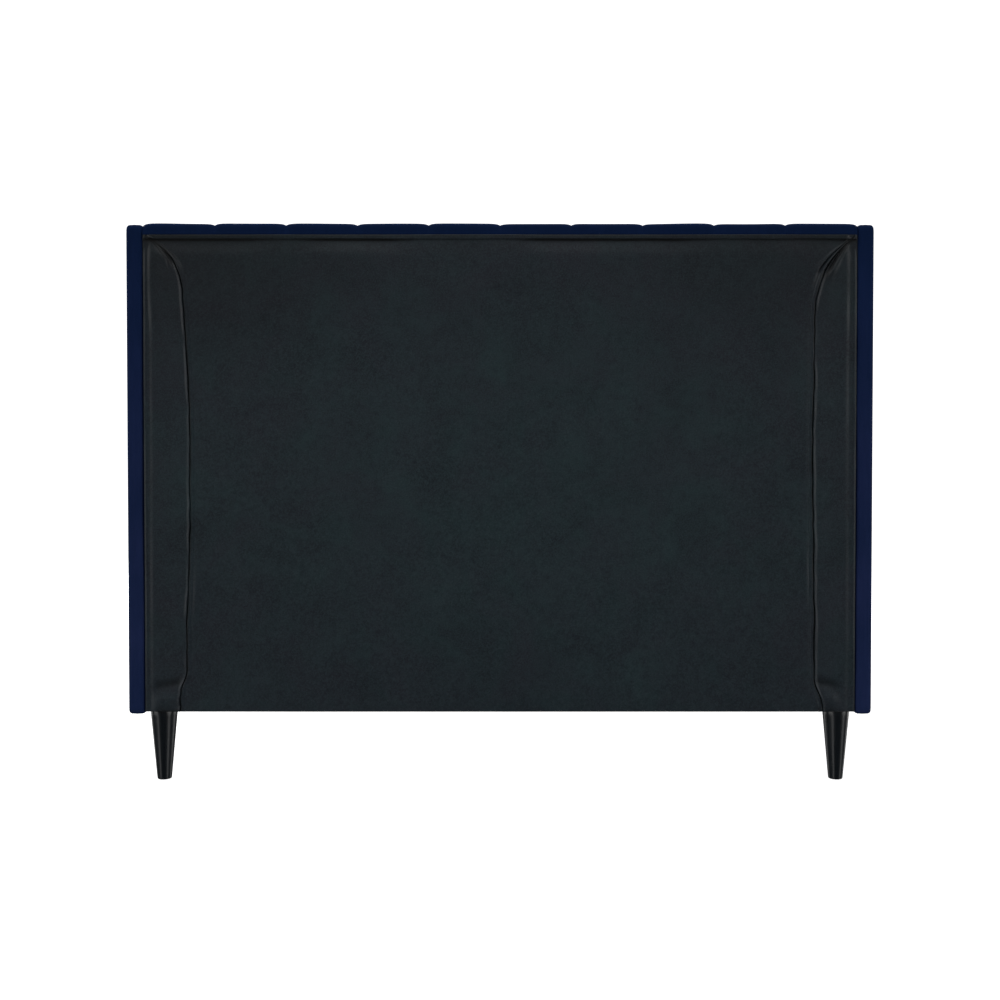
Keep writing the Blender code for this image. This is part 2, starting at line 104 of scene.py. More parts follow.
# Channel pads
CHANNELS = 10
PAD_REAR_RADIUS = 0.010
PAD_FRONT_RADIUS = 0.028
PAD_FOOT_RADIUS = 0.022
PAD_GROOVE_FRONT = 0.030
PAD_GROOVE_TOP = 0.0055
PAD_GROOVE_LIP = 0.0008
PAD_SWELL = 0.005
PAD_MEET = 0.0012
PAD_POINTS_ACROSS = 23

# Cloth of the pads. It is cut 3% longer than its seams, which gathers it along them.
CLOTH_FRAMES = 20
CLOTH = {
    "quality": 6,
    "mass": 0.25,
    "tension_stiffness": 12,
    "compression_stiffness": 12,
    "shear_stiffness": 4,
    "bending_stiffness": 0.12,
    "tension_damping": 12,
    "compression_damping": 12,
    "use_pressure": True,
    "uniform_pressure_force": 5.0,
    "shrink_min": -0.030,
    "vertex_group_mass": "held",
}

# Wings
WING_EDGE = 0.0085
WING_FRONT_RADIUS = 0.060
WING_REAR_RADIUS = 0.010
WING_BOTTOM_RADIUS = 0.006
WING_SEAM = 0.0105
WING_FACE_INSET = 0.015
WING_CROWN = 0.0014

# Rails and slats
SLATS = 11
RAIL_EDGE = 0.008
RAIL_CROWN = 0.0016
RAIL_LIP = 0.0015
RAIL_POINTS_ROUND = 46

# Dust cover
HEM_HEIGHT = 0.0102
HEM_RISE = 0.0006
HEM_SINK = 0.0032
# Painted shade in the hem's crease, and along the hem and below it
HEM_CREASE_SHADE = 0.85
HEM_SHADE = 0.24
SHEET_THICKNESS = 0.0006
EDGE_FOLD = 0.0048
EDGE_DROP = 0.0021
SHEET_LIFT = 0.0018
SHEET_DEEPEST = 0.0014
SHEET_TURN = ((0.0006, 0.0018), (0.0010, 0.0034))
STRIP_LENGTH = 0.1
TUCK_CREASE_SHADE = 0.92
TUCK_SEED = {"left": 62, "right": 61}
TUCK_TURN = 0.207
TUCK_TURN_POWER = {"left": 3.0, "right": 5.0}
# How it hooks towards the wing at its foot: (how far, top of the hook, its end)
TUCK_HOOK = {"left": (0.0200, 0.075, 0.004), "right": (0.0165, 0.095, 0.030)}
# The tucked edge's bow: (widest inset, rise, lowest height it holds for, middle height, half length)
TUCK_BOW = {"left": (0.0965, 0.0022, 0.40, 0.766, 0.25), "right": (0.1035, 0.0107, 0.36, 0.681, 0.35)}
# The ridge over the frame's edge: (least strength, height it grows from, over, inset, change at the top)
EDGE_RIDGE = {"left": (0.35, 0.60, 0.35, 0.0185, 0.0), "right": (0.55, 0.98, 0.12, 0.0155, 0.0030)}
# The pocket over each leg: (start, width of its start, end, slant of its lower fold)
PILLOW = {"left": (0.026, 0.026, 0.080, 0.8), "right": (0.012, 0.022, 0.074, 0.6)}
BULGE_HEIGHT = {"left": 0.475, "right": 0.43}

# Folds in each top corner: (distance from the tucked edge, height, half width)
CORNER_FOLDS = {
    "left": (
        (0.0065, 0.0026, 0.0028),
        (0.0130, -0.0026, 0.0022),
        (0.0200, 0.0016, 0.0042),
        (-0.0085, -0.0030, 0.0040),
        (-0.0180, 0.0016, 0.0050),
    ),
    "right": (
        (0.0055, 0.0012, 0.0030),
        (0.0115, -0.0018, 0.0024),
        (-0.0060, -0.0034, 0.0040),
        (-0.0125, 0.0016, 0.0036),
        (-0.0200, -0.0014, 0.0042),
    ),
}

# Painted shade in a band where the cloth gathers there: (distance from the tucked edge, half width)
CORNER_SHADE_BAND = {"left": (-0.0060, 0.0105), "right": (-0.0060, 0.0110)}
# Painted shade that darkens both top corners of the sheet, and how far it reaches
CORNER_SHADE = {"left": 0.32, "right": 0.46}
CORNER_SHADE_REACH = 0.40
CORNER_REACH = {"left": 0.130, "right": 0.085}

# Legs and feet
LEG_TOE_SHARE = 0.527
FOOT_SIDES = 72
FOOT_FLUTES = 12
FOOT_FLUTE = 0.055
FOOT_STEM_BASE = 0.0104
STEM_RADIUS = 0.0040
THREAD_PITCH = 0.0020
THREAD_DEPTH = 0.0004

# Bolts and screws, as (share of the radius, height) and (radius, height) points
BOLT_RADIUS = 0.0065
BOLT_WASHER = ((1.45, 0.0001), (1.45, 0.0010), (1.38, 0.0013))
BOLT_HEAD = ((1.0, 0.0014), (1.0, 0.0048), (0.90, 0.0054))
BRACKET_LEAF = 0.003
SCREW_HEAD = ((0.0040, 0.0001), (0.0040, 0.0006), (0.0034, 0.0010))
SCREW_RECESS = ((0.00260, 0.0010), (0.00104, 0.0003))


# ---- numbers


def smooth_noise(points, size, seed=0):
    """Value noise from -1 to 1 at each point, with features about size metres across."""
    at = np.asarray(points, float) / size
    cell = np.floor(at)
    part = at - cell
    part = part * part * (3 - 2 * part)
    cell = cell.astype(np.int64)
    total = np.zeros(at.shape[:-1])
    for corner in np.ndindex(2, 2, 2):
        key = (cell + corner) @ np.array([73856093, 19349663, 83492791]) + seed * 2654435761
        key = (key ^ (key >> 13)) * 1274126177
        value = ((key ^ (key >> 16)) & 0xFFFF) / 32767.5 - 1
        total += value * np.where(corner, part, 1 - part).prod(axis=-1)
    return total


def line_noise(places, size, seed=0):
    """The same noise along one line."""
    places = np.asarray(places, float)
    return smooth_noise(np.stack([places, places * 0, places * 0], axis=-1), size, seed)


def ease(x):
    """0 below 0, 1 above 1 and smooth between."""
    x = np.clip(x, 0, 1)
    return x * x * (3 - 2 * x)


def hump(x, width):
    """A smooth bump of height 1 at 0."""
    return np.exp(-((np.asarray(x) / width) ** 2))


def graded(length, near, far, step):
    """Places from 0 to length: near gives those by 0, far those by the end, with even steps between."""
    start, end = near[-1], length - far[-1]
    count = max(1, round((end - start) / step))
    middle = np.linspace(start, end, count + 1)[1:-1]
    return np.concatenate([near, middle, length - np.asarray(far)[::-1]])


def arc(centre, radius, start, end, steps):
    """Points on an arc from one angle to another, in degrees."""
    turns = np.radians(np.linspace(start, end, steps + 1))
    return np.stack([centre[0] + radius * np.cos(turns), centre[1] + radius * np.sin(turns)], axis=1)


def full_turn(sides):
    return np.linspace(0, 2 * math.pi, sides, endpoint=False)


def circle(radius, height, turns):
    """A ring of points about Z. Its radius may change round it."""
    return np.stack([radius * np.cos(turns), radius * np.sin(turns), np.full(len(turns), height)], axis=1)


def lengths_along(line):
    steps = np.linalg.norm(np.diff(line, axis=0), axis=1)
    return np.concatenate([[0], np.cumsum(steps)])


def resample(line, places):
    """Points on a polyline at shares from 0 to 1 of its length."""
    along = lengths_along(line)
    at = np.asarray(places) * along[-1]
    return np.stack([np.interp(at, along, column) for column in line.T], axis=1)


# ---- meshes


class Shape:
    """Points and faces gathered grid by grid and ring by ring."""

    def __init__(self):
        self.points = []
        self.faces = []

    def add(self, points):
        """Adds points of any array shape and gives their numbers in the same shape."""
        points = np.asarray(points, float)
        flat = points.reshape(-1, 3)
        start = len(self.points)
        self.points.extend(flat.tolist())
        return np.arange(start, start + len(flat)).reshape(points.shape[:-1])

    def skin(self, numbers, wrap=False):
        """Quads over a two-way array of point numbers; wrap joins its last column to its first."""
        if wrap:
            numbers = np.concatenate([numbers, numbers[:, :1]], axis=1)
        a, b = numbers[:-1, :-1].ravel(), numbers[:-1, 1:].ravel()
        c, d = numbers[1:, 1:].ravel(), numbers[1:, :-1].ravel()
        self.faces.extend(zip(a.tolist(), b.tolist(), c.tolist(), d.tolist()))

    def shell(self, outer, inner):
        """A closed shell between two grids of points that match. Gives both grids' point numbers."""
        outer, inner = self.add(outer), self.add(inner)
        self.skin(outer)
        self.skin(inner)
        for edge in (0, -1):
            self.skin(np.stack([outer[edge], inner[edge]]))
            self.skin(np.stack([outer[:, edge], inner[:, edge]]))
        return outer, inner

    def wrapped(self, front, rings, back):
        """A closed solid from a front grid over rings of points to a back grid."""
        front, back = self.add(front), self.add(back)
        rings = [edge_of(front), *(self.add(ring) for ring in rings), edge_of(back)]
        self.skin(np.stack(rings), wrap=True)
        self.skin(front)
        self.skin(back)

    def rod(self, rings):
        """A closed solid over rings of points, with a flat lid at each end."""
        numbers = [self.add(ring) for ring in rings]
        self.skin(np.stack(numbers), wrap=True)
        for ring in (numbers[0], numbers[-1]):
            self.faces.append(tuple(ring.tolist()))

    def build(self, name, flat_angle=None):
        mesh = bpy.data.meshes.new(name)
        mesh.from_pydata(self.points, [], self.faces)
        bm = bmesh.new()
        bm.from_mesh(mesh)
        bmesh.ops.recalc_face_normals(bm, faces=bm.faces)
        bm.to_mesh(mesh)
        bm.free()
        mesh.shade_smooth()
        if flat_angle:
            mesh.set_sharp_from_angle(angle=math.radians(flat_angle))
        made = bpy.data.objects.new(name, mesh)
        bpy.context.scene.collection.objects.link(made)
        return made


def points_of(made):
    points = np.empty(len(made.data.vertices) * 3)
    made.data.vertices.foreach_get("co", points)
    return points.reshape(-1, 3)


def move_points(made, points):
    made.data.vertices.foreach_set("co", np.asarray(points, float).ravel())
    made.data.update()


def subdivide(made, levels=1):
    modifier = made.modifiers.new("Subdivision", "SUBSURF")
    modifier.levels = modifier.render_levels = levels
    return made


def rounded_outline(low, high, radii, counts, inset=0.0):
    """A rounded rectangle, inset from its edge, as 2 * (counts[0] + counts[1]) points.

    Its four sides each run from the middle of one corner's arc to the middle of the next,
    starting at the lowest corner and going round through the far end of the first axis.
    """
    corners = [(low[0], low[1]), (high[0], low[1]), (high[0], high[1]), (low[0], high[1])]
    inward = [(1, 1), (-1, 1), (-1, -1), (1, -1)]
    sides = []
    for k in range(4):
        line = []
        for corner, start in ((k, 225), ((k + 1) % 4, 270)):
            radius = max(radii[corner] - inset, 0.0004)
            centre = np.array(corners[corner]) + np.array(inward[corner]) * (inset + radius)
            line.append(arc(centre, radius, start + 90 * k, start + 90 * k + 45, 6))
        count = counts[k % 2]
        sides.append(resample(np.concatenate(line), np.arange(count) / count))
    return np.concatenate(sides)


def filled(loop, counts):
    """A grid of points that spans a closed loop from rounded_outline."""
    nu, nv = counts
    bottom, right = loop[: nu + 1], loop[nu : nu + nv + 1]
    top = loop[nu + nv : 2 * nu + nv + 1][::-1]
    left = np.concatenate([loop[2 * nu + nv :], loop[:1]])[::-1]
    u = np.linspace(0, 1, nu + 1)[None, :, None]
    v = np.linspace(0, 1, nv + 1)[:, None, None]
    grid = (1 - v) * bottom[None] + v * top[None] + (1 - u) * left[:, None] + u * right[:, None]
    grid -= (1 - v) * ((1 - u) * bottom[0] + u * bottom[-1]) + v * ((1 - u) * top[0] + u * top[-1])
    return grid


def edge_of(numbers):
    """A grid's edge points, in the order of its outline."""
    return np.concatenate([numbers[0, :-1], numbers[:-1, -1], numbers[-1, :0:-1], numbers[:0:-1, 0]])


def crown_over(grid, low, high, reach):
    """1 over the middle of a rectangle, easing to 0 within reach of its edges."""
    share = 1.0
    for axis in range(2):
        share = share * ease((grid[..., axis] - low[axis]) / reach)
        share = share * ease((high[axis] - grid[..., axis]) / reach)
    return share


def crowned(low, high, radii, counts, inset, reach):
    """The grid inside a rounded rectangle's inset outline, and its crown from 0 to 1."""
    face = filled(rounded_outline(low, high, radii, counts, inset), counts)
    crown = crown_over(face, [v + inset for v in low], [v - inset for v in high], reach)
    return face, crown


def upright(grid, y):
    """(x, z) points stood up at one y, or at a y for each of them."""
    return np.stack([grid[..., 0], np.broadcast_to(y, grid.shape[:-1]), grid[..., 1]], axis=-1)


def sideways(x, grid):
    """(y, z) points given one x, or an x for each of them."""
    return np.concatenate([np.broadcast_to(x, grid.shape[:-1])[..., None], grid], axis=-1)


def finish_piece(made, slot, *replaced, body=BODY):
    made.data.materials.clear()
    made.data.materials.append(MATERIALS[slot])
    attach(made, body)
    if replaced:
        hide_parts(*replaced)
    return made


def cloth_settle(pads, most):
    """Inflates closed pads as cloth whose "held" points stay put, then caps how far each point moved."""
    before = {pad.name: points_of(pad) for pad in pads}
    for pad in pads:
        modifier = pad.modifiers.new("Cloth", "CLOTH")
        settings = modifier.settings
        for name, value in CLOTH.items():
            setattr(settings, name, value)
        settings.effector_weights.gravity = 0
        modifier.collision_settings.use_collision = False
        modifier.point_cache.frame_start = 1
        modifier.point_cache.frame_end = CLOTH_FRAMES
    scene = bpy.context.scene
    for number in range(1, CLOTH_FRAMES + 1):
        scene.frame_set(number)
    graph = bpy.context.evaluated_depsgraph_get()
    for pad in pads:
        moved = points_of(pad.evaluated_get(graph)) - before[pad.name]
        far = np.linalg.norm(moved, axis=1, keepdims=True)
        moved *= np.minimum(1, most / np.maximum(far, 1e-9))
        pad.modifiers.clear()
        move_points(pad, before[pad.name] + moved)
    scene.frame_set(1)


# ---- materials


class Nodes:
    """A node tree, with short calls for the nodes used here."""

    def __init__(self, tree):
        self.tree = tree

    def feed(self, socket, value):
        """Sets a socket to a number or colour, or links another socket to it."""
        if isinstance(value, (int, float, tuple, list)):
            socket.default_value = value
        else:
            self.tree.links.new(value, socket)

    def add(self, kind, inputs, output, **settings):
        """A new node with its inputs fed by name or number. Gives one of its outputs."""
        made = self.tree.nodes.new(kind)
        for name, value in settings.items():
            setattr(made, name, value)
        for name, value in inputs.items():
            self.feed(made.inputs[name], value)
        return made.outputs[output]

    def maths(self, operation, *values):
        return self.add("ShaderNodeMath", dict(enumerate(values)), "Value", operation=operation)

    def span(self, source, low, high, start=0.0, end=1.0, **settings):
        """low to high while the source goes from start to end."""
        inputs = {"Value": source, "From Min": start, "From Max": end, "To Min": low, "To Max": high}
        return self.add("ShaderNodeMapRange", inputs, "Result", **settings)


class Shader(Nodes):
    """A material on a Principled BSDF, with its textures in object coordinates."""

    def __init__(self, name):
        self.material = bpy.data.materials.new(name)
        self.material.use_nodes = True
        super().__init__(self.material.node_tree)
        self.place = self.add("ShaderNodeTexCoord", {}, "Object")

    def set(self, **values):
        """Sets or links the BSDF's inputs, named with _ for a space."""
        inputs = self.tree.nodes["Principled BSDF"].inputs
        for name, value in values.items():
            self.feed(inputs[name.replace("_", " ")], value)

    def stretched(self, scale, shift=(0, 0, 0)):
        inputs = {"Vector": self.place, "Scale": scale, "Location": shift}
        return self.add("ShaderNodeMapping", inputs, "Vector")

    def noise(self, scale, detail=2.0, rough=0.5, vector=None, distortion=0.0):
        inputs = {"Scale": scale, "Detail": detail, "Roughness": rough, "Distortion": distortion}
        return self.add("ShaderNodeTexNoise", {**inputs, "Vector": vector or self.place}, "Fac")

    def ramp(self, source, *stops):
        """Colours at places along 0 to 1."""
        made = self.tree.nodes.new("ShaderNodeValToRGB")
        elements = made.color_ramp.elements
        while len(elements) < len(stops):
            elements.new(0.5)
        for element, (place, colour) in zip(elements, stops):
            element.position = place
            element.color = (*colour, 1)
        self.feed(made.inputs["Fac"], source)
        return made.outputs["Color"]

    def mix(self, factor, a, b, blend="MIX"):
        inputs = {0: factor, 6: a, 7: b}
        return self.add("ShaderNodeMix", inputs, 2, data_type="RGBA", blend_type=blend)

    def tint(self, base, source, strength, start, end, colour):
        """Mixes a colour into the base, up to strength, as the source goes from start to end."""
        return self.mix(self.span(source, 0.0, strength, start, end), base, (*colour, 1))

    def bump(self, height, distance, strength, under=None):
        inputs = {"Distance": distance, "Strength": strength, "Height": height}
        if under:
            inputs["Normal"] = under
        return self.add("ShaderNodeBump", inputs, "Normal")


def velvet():
    """Navy cotton velvet: a short pile, brushed in soft patches, bright where it is seen edge on, with
    painted shade that darkens it towards the top.
    """
    s = Shader("navy_velvet")
    s.set(Metallic=0.0, Specular_IOR_Level=0.06, Sheen_Weight=0.32, Sheen_Roughness=0.30)
    s.set(Sheen_Tint=(0.10, 0.24, 0.90, 1))
    patches = s.noise(6.0, 3.0, 0.55, distortion=0.4)
    pile = s.noise(900.0, 2.0, 0.6)
    brushed = s.noise(1.0, 4.0, 0.65, vector=s.stretched((60, 60, 9)))
    base = s.ramp(patches, (0.30, (0.0100, 0.0235, 0.0790)), (0.72, (0.0180, 0.0310, 0.1000)))
    base = s.tint(base, brushed, 0.35, 0.45, 0.8, (0.0270, 0.0430, 0.134))
    base = s.tint(base, pile, 0.30, 0.4, 0.8, (0.034, 0.052, 0.156))
    # Painted shade: the velvet's colour darkens with height, towards the top of the bed.
    height = s.add("ShaderNodeSeparateXYZ", {"Vector": s.place}, "Z")
    height_shade = s.span(s.maths("ADD", height, s.span(patches, -0.06, 0.06)), 0.0, 1.0, 0.1, 1.3)
    base = s.mix(1.0, base, s.ramp(height_shade, *VELVET_HEIGHT_SHADE), blend="MULTIPLY")
    normal = s.bump(pile, 0.0006, 0.35, under=s.bump(brushed, 0.0008, 0.25))
    s.set(Base_Color=base, Roughness=s.span(patches, 0.70, 0.90), Normal=normal)
    return s.material


def dust_cloth():
    """Black spun-bonded cloth of pressed fibres, uneven in thickness, with painted shade where it is folded
    in.
    """
    s = Shader("dust_cloth")
    s.set(Metallic=0.0, Specular_IOR_Level=0.32, Sheen_Weight=0.02, Sheen_Roughness=0.5)
    s.set(Sheen_Tint=(0.6, 0.75, 0.85, 1))
    uneven = s.noise(11.0, 6.0, 0.66, distortion=0.5)
    clouds = s.noise(6.5, 6.0, 0.68, distortion=0.8)
    speckle = s.noise(300.0, 3.0, 0.7)
    fibres = s.noise(1.0, 2.0, 0.6, vector=s.stretched((1400, 1400, 260)), distortion=0.8)
    across = s.noise(1.0, 2.0, 0.6, vector=s.stretched((260, 260, 1400)), distortion=0.8)
    base = s.ramp(uneven, (0.36, (0.0098, 0.0168, 0.0225)), (0.64, (0.0155, 0.0318, 0.0375)))
    base = s.tint(base, clouds, 0.70, 0.40, 0.64, (0.0180, 0.0200, 0.0300))
    base = s.tint(base, speckle, 0.75, 0.42, 0.75, (0.038, 0.060, 0.070))
    base = s.tint(base, fibres, 0.45, 0.5, 0.8, (0.044, 0.066, 0.078))
    base = s.tint(base, s.noise(95.0, 4.0, 0.72), 0.6, 0.50, 0.72, (0.0240, 0.0400, 0.0490))
    base = s.tint(base, s.noise(60.0, 4.0, 0.72), 0.5, 0.52, 0.74, (0.0078, 0.0120, 0.0180))
    # Lighter over the middle of the sheet and darker towards its edges.
    broad = s.noise(2.4, 2.0, 0.5, distortion=0.3)
    inputs = {"Vector": s.stretched((1.2, 0.0, 1.8), (0, 0, -1.15))}
    middle = s.add("ShaderNodeTexGradient", inputs, "Fac", gradient_type="SPHERICAL")
    nearness_to_middle = s.maths("ADD", middle, s.span(broad, -0.35, 0.35))
    tone = s.ramp(nearness_to_middle, (0.0, (1.02, 0.92, 0.94)), (0.55, (1.19, 1.19, 1.14)))
    base = s.mix(1.0, base, tone, blend="MULTIPLY")
    # Painted shade: the crease attribute darkens the cloth in its creases, folds and upper corners, and
    # along its hem and foot.
    crease = s.add("ShaderNodeAttribute", {}, "Fac", attribute_name="crease")
    base = s.mix(crease, base, (0.0016, 0.0022, 0.0026, 1))
    fine = s.maths("ADD", fibres, across)
    normal = s.bump(fine, 0.0003, 0.4, under=s.bump(speckle, 0.0005, 0.3))
    s.set(Base_Color=base, Roughness=s.span(speckle, 0.36, 0.50), Normal=normal)
    return s.material


def lacquer():
    """Black lacquer over turned wood: smooth, with a faint orange peel."""
    s = Shader("black_lacquer")
    s.set(Metallic=0.0, Specular_IOR_Level=0.5, Coat_Weight=0.3, Coat_Roughness=0.16)
    peel = s.noise(220.0, 1.0, 0.4)
    grain = s.noise(1.0, 3.0, 0.6, vector=s.stretched((260, 260, 14)))
    base = s.ramp(grain, (0.3, (0.0038, 0.0068, 0.0105)), (0.8, (0.0064, 0.0105, 0.0150)))
    normal = s.bump(peel, 0.0004, 0.08, under=s.bump(grain, 0.0002, 0.1))
    s.set(Base_Color=base, Roughness=s.span(grain, 0.24, 0.34), Normal=normal)
    return s.material


def wood(name, light, dark, along):
    """Sawn softwood with its grain along one axis: 0, 1 or 2 for X, Y or Z."""
    s = Shader(name)
    s.set(Metallic=0.0, Specular_IOR_Level=0.4)
    scale = [46.0, 46.0, 46.0]
    scale[along] = 1.6
    fine = [420.0, 420.0, 420.0]
    fine[along] = 9.0
    bands = s.noise(1.0, 4.0, 0.55, vector=s.stretched(scale), distortion=1.2)
    pores = s.noise(1.0, 2.0, 0.6, vector=s.stretched(fine))
    tone = s.noise(2.2, 2.0, 0.5)
    base = s.ramp(bands, (0.32, dark), (0.50, light), (0.66, tuple(v * 0.86 for v in light)))
    base = s.tint(base, pores, 0.45, 0.55, 0.8, [v * 0.6 for v in dark])
    base = s.tint(base, tone, 0.30, 0.35, 0.7, [v * 0.8 for v in light])
    normal = s.bump(pores, 0.0003, 0.35, under=s.bump(bands, 0.0006, 0.25))
    s.set(Base_Color=base, Roughness=s.span(bands, 0.55, 0.72), Normal=normal)
    return s.material


def powder_coat():
    """Black powder-coated steel."""
    s = Shader("black_powder_coat")
    s.set(Metallic=0.0, Specular_IOR_Level=0.5)
    peel = s.noise(520.0, 2.0, 0.5)
    wear = s.noise(30.0, 4.0, 0.6)
    base = s.ramp(wear, (0.3, (0.014, 0.014, 0.015)), (0.8, (0.026, 0.026, 0.028)))
    s.set(Base_Color=base, Roughness=s.span(wear, 0.38, 0.55), Normal=s.bump(peel, 0.0004, 0.3))
    return s.material


def moulded_plastic():
    """Black moulded plastic with a fine spark-eroded texture."""
    s = Shader("black_plastic")
    s.set(Metallic=0.0, Specular_IOR_Level=0.45)
    grain = s.noise(800.0, 2.0, 0.5)
    tone = s.noise(18.0, 2.0, 0.5)
    base = s.ramp(tone, (0.3, (0.010, 0.010, 0.011)), (0.8, (0.017, 0.017, 0.018)))
    s.set(Base_Color=base, Roughness=s.span(grain, 0.42, 0.60), Normal=s.bump(grain, 0.0003, 0.3))
    return s.material


MATERIALS = {
    "velvet": velvet(),
    "dust_cover": dust_cloth(),
    "leg_lacquer": lacquer(),
    "slat_wood": wood("slat_pine", (0.62, 0.43, 0.24), (0.50, 0.30, 0.14), 0),
    "timber": wood("frame_pine", (0.56, 0.37, 0.20), (0.42, 0.24, 0.11), 1),
    "plywood": wood("plywood", (0.58, 0.41, 0.24), (0.46, 0.30, 0.16), 2),
    "steel": powder_coat(),
    "plastic": moulded_plastic(),
}


def dress_frame():
    """Gives every carried-over CAD node its finished material."""
    slots = {entry["node"]: entry["material_slot"] for entry in frame["record"]["subparts"]}
    for name, node in frame["nodes"].items():
        node.data.materials.clear()
        node.data.materials.append(MATERIALS[slots[name]])


dress_frame()


# ---- channel pads


def pad_path():
    """A pad's outside from the rear lip over the top and down the front, and its inside beside it.

    Both are (y, z) points in step with each other. The third array is the depth of the side
    grooves there, and the last goes from 0 on top to 1 down the front.
    """
    low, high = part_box("channel_pad_01")
    _, frame_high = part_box("headboard_top_rail")
    panel_low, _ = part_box("headboard_panel")
    lip_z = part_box("dust_cover")[1].z
    rear, front, top = high.y, low.y, high.z

    lip = np.array([(rear, lip_z), (rear, top - PAD_REAR_RADIUS)])
    over = arc((rear - PAD_REAR_RADIUS, top - PAD_REAR_RADIUS), PAD_REAR_RADIUS, 0, 90, 8)
    nose = arc((front + PAD_FRONT_RADIUS, top - PAD_FRONT_RADIUS), PAD_FRONT_RADIUS, 90, 180, 12)
    foot = arc((front + PAD_FOOT_RADIUS, low.z + PAD_FOOT_RADIUS), PAD_FOOT_RADIUS, 180, 270, 8)
    back_y, over_z, panel_y = frame_high.y + GAP, frame_high.z + GAP, panel_low.y - GAP
    turns = [(back_y, lip_z), (back_y, over_z), (panel_y, over_z), (panel_y, low.z)]
    inside = [np.array(turns[k : k + 2]) for k in range(3)]
    outside = [
        np.concatenate([lip, over]),
        np.array([over[-1], nose[0]]),
        np.concatenate([nose, foot, [(panel_y, low.z)]]),
    ]
    front_start = (0, 0.004, 0.009, 0.014, 0.019, 0.025, 0.032, 0.040)
    front_end = (0, 0.008, 0.02, 0.03, 0.037, 0.043)
    shares = [
        graded(1.0, (0, 0.03, 0.09, 0.18), (0, 0.06, 0.13), 0.09),
        np.linspace(0, 1, 9),
        graded(1.0, front_start, front_end, 0.0085),
    ]
    out, into = [], []
    for part, (a, b, s) in enumerate(zip(outside, inside, shares)):
        keep = slice(0, None if part == 2 else -1)
        out.append(resample(a, s)[keep])
        into.append(resample(b, s)[keep])
    out, into = np.concatenate(out), np.concatenate(into)

    along = lengths_along(out)
    over_end = len(shares[0]) - 1
    nose_start = over_end + len(shares[1]) - 1
    nose_end = along[nose_start] + PAD_FRONT_RADIUS * math.pi / 2
    rise = ease(along / along[over_end])
    turn = ease((along - along[nose_start]) / (nose_end - along[nose_start]))
    groove = PAD_GROOVE_LIP + (PAD_GROOVE_TOP - PAD_GROOVE_LIP) * rise
    groove += (PAD_GROOVE_FRONT - PAD_GROOVE_TOP) * turn
    groove *= 1 - ease((along - along[-1] + 0.045) / 0.030)
    return out, into, groove, turn


def channel_pads():
    """Ten crowned channels. The sewn grooves between them run over the top to the rear lip."""
    out, into, groove, turn = pad_path()
    normal = np.gradient(out, axis=0)
    normal = np.stack([-normal[:, 1], normal[:, 0]], axis=1)
    normal /= np.linalg.norm(normal, axis=1, keepdims=True)
    if normal[0, 0] < 0:
        normal = -normal
    flat = 10 - 8 * turn
    soft = 1.5 + 0.5 * turn
    across = np.sin(np.linspace(-1, 1, PAD_POINTS_ACROSS) * math.pi / 2)
    pads = []
    for number in range(1, CHANNELS + 1):
        node = f"channel_pad_{number:02d}"
        low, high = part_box(node)
        middle, half = (low.x + high.x) / 2, (high.x - low.x) / 2 + PAD_MEET
        share = 1 - (1 - np.abs(across)[:, None] ** flat) ** (1 / soft)
        place = out - normal * (groove * share)[..., None]
        x = (middle + half * across)[:, None]
        skin = sideways(x, place)
        full = (1 - share) * ease(groove / 0.003)
        bob = smooth_noise(skin, 0.11, number) * 0.0011 * full
        skin[..., 1:] += normal * bob[..., None]
        back = sideways(x, np.broadcast_to(into, place.shape))

        shape = Shape()
        outer, inner = shape.shell(skin, back)
        pad = shape.build(f"velvet_channel_{number:02d}")
        sewn = [inner, outer[0], outer[-1], outer[:, :3], outer[:, -6:]]
        held = np.unique(np.concatenate([part.ravel() for part in sewn]))
        pad.vertex_groups.new(name="held").add(held.tolist(), 1.0, "REPLACE")
        pads.append(pad)

    cloth_settle(pads, PAD_SWELL)
    for number, pad in enumerate(pads, 1):
        low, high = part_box(f"channel_pad_{number:02d}")
        points = points_of(pad)
        points[:, 0] = np.clip(points[:, 0], low.x - PAD_MEET, high.x + PAD_MEET)
        points[:, 2] = np.minimum(points[:, 2], high.z + 0.0008)
        move_points(pad, points)
        subdivide(pad)
        finish_piece(pad, "velvet", f"channel_pad_{number:02d}")


# ---- wings


def wing_profile(half):
    """Half of a wing's edge, from its broad face to the middle of the rim, as (inset, x) points."""
    half -= WING_CROWN
    groove = ((0.0024, 0.0), (0.0012, 0.0002), (0.0005, 0.0008), (0.0, 0.0014), (-0.0005, 0.0008))
    seam = [(WING_SEAM + along, half - depth) for along, depth in (*groove, (-0.0012, 0.0002))]
    corner = arc((WING_EDGE, half - WING_EDGE), WING_EDGE, 90, 180, 8)
    rim = [(0.0, half - WING_EDGE - 0.004), (-0.0003, half - WING_EDGE - 0.008)]
    return seam + [tuple(p) for p in corner] + rim


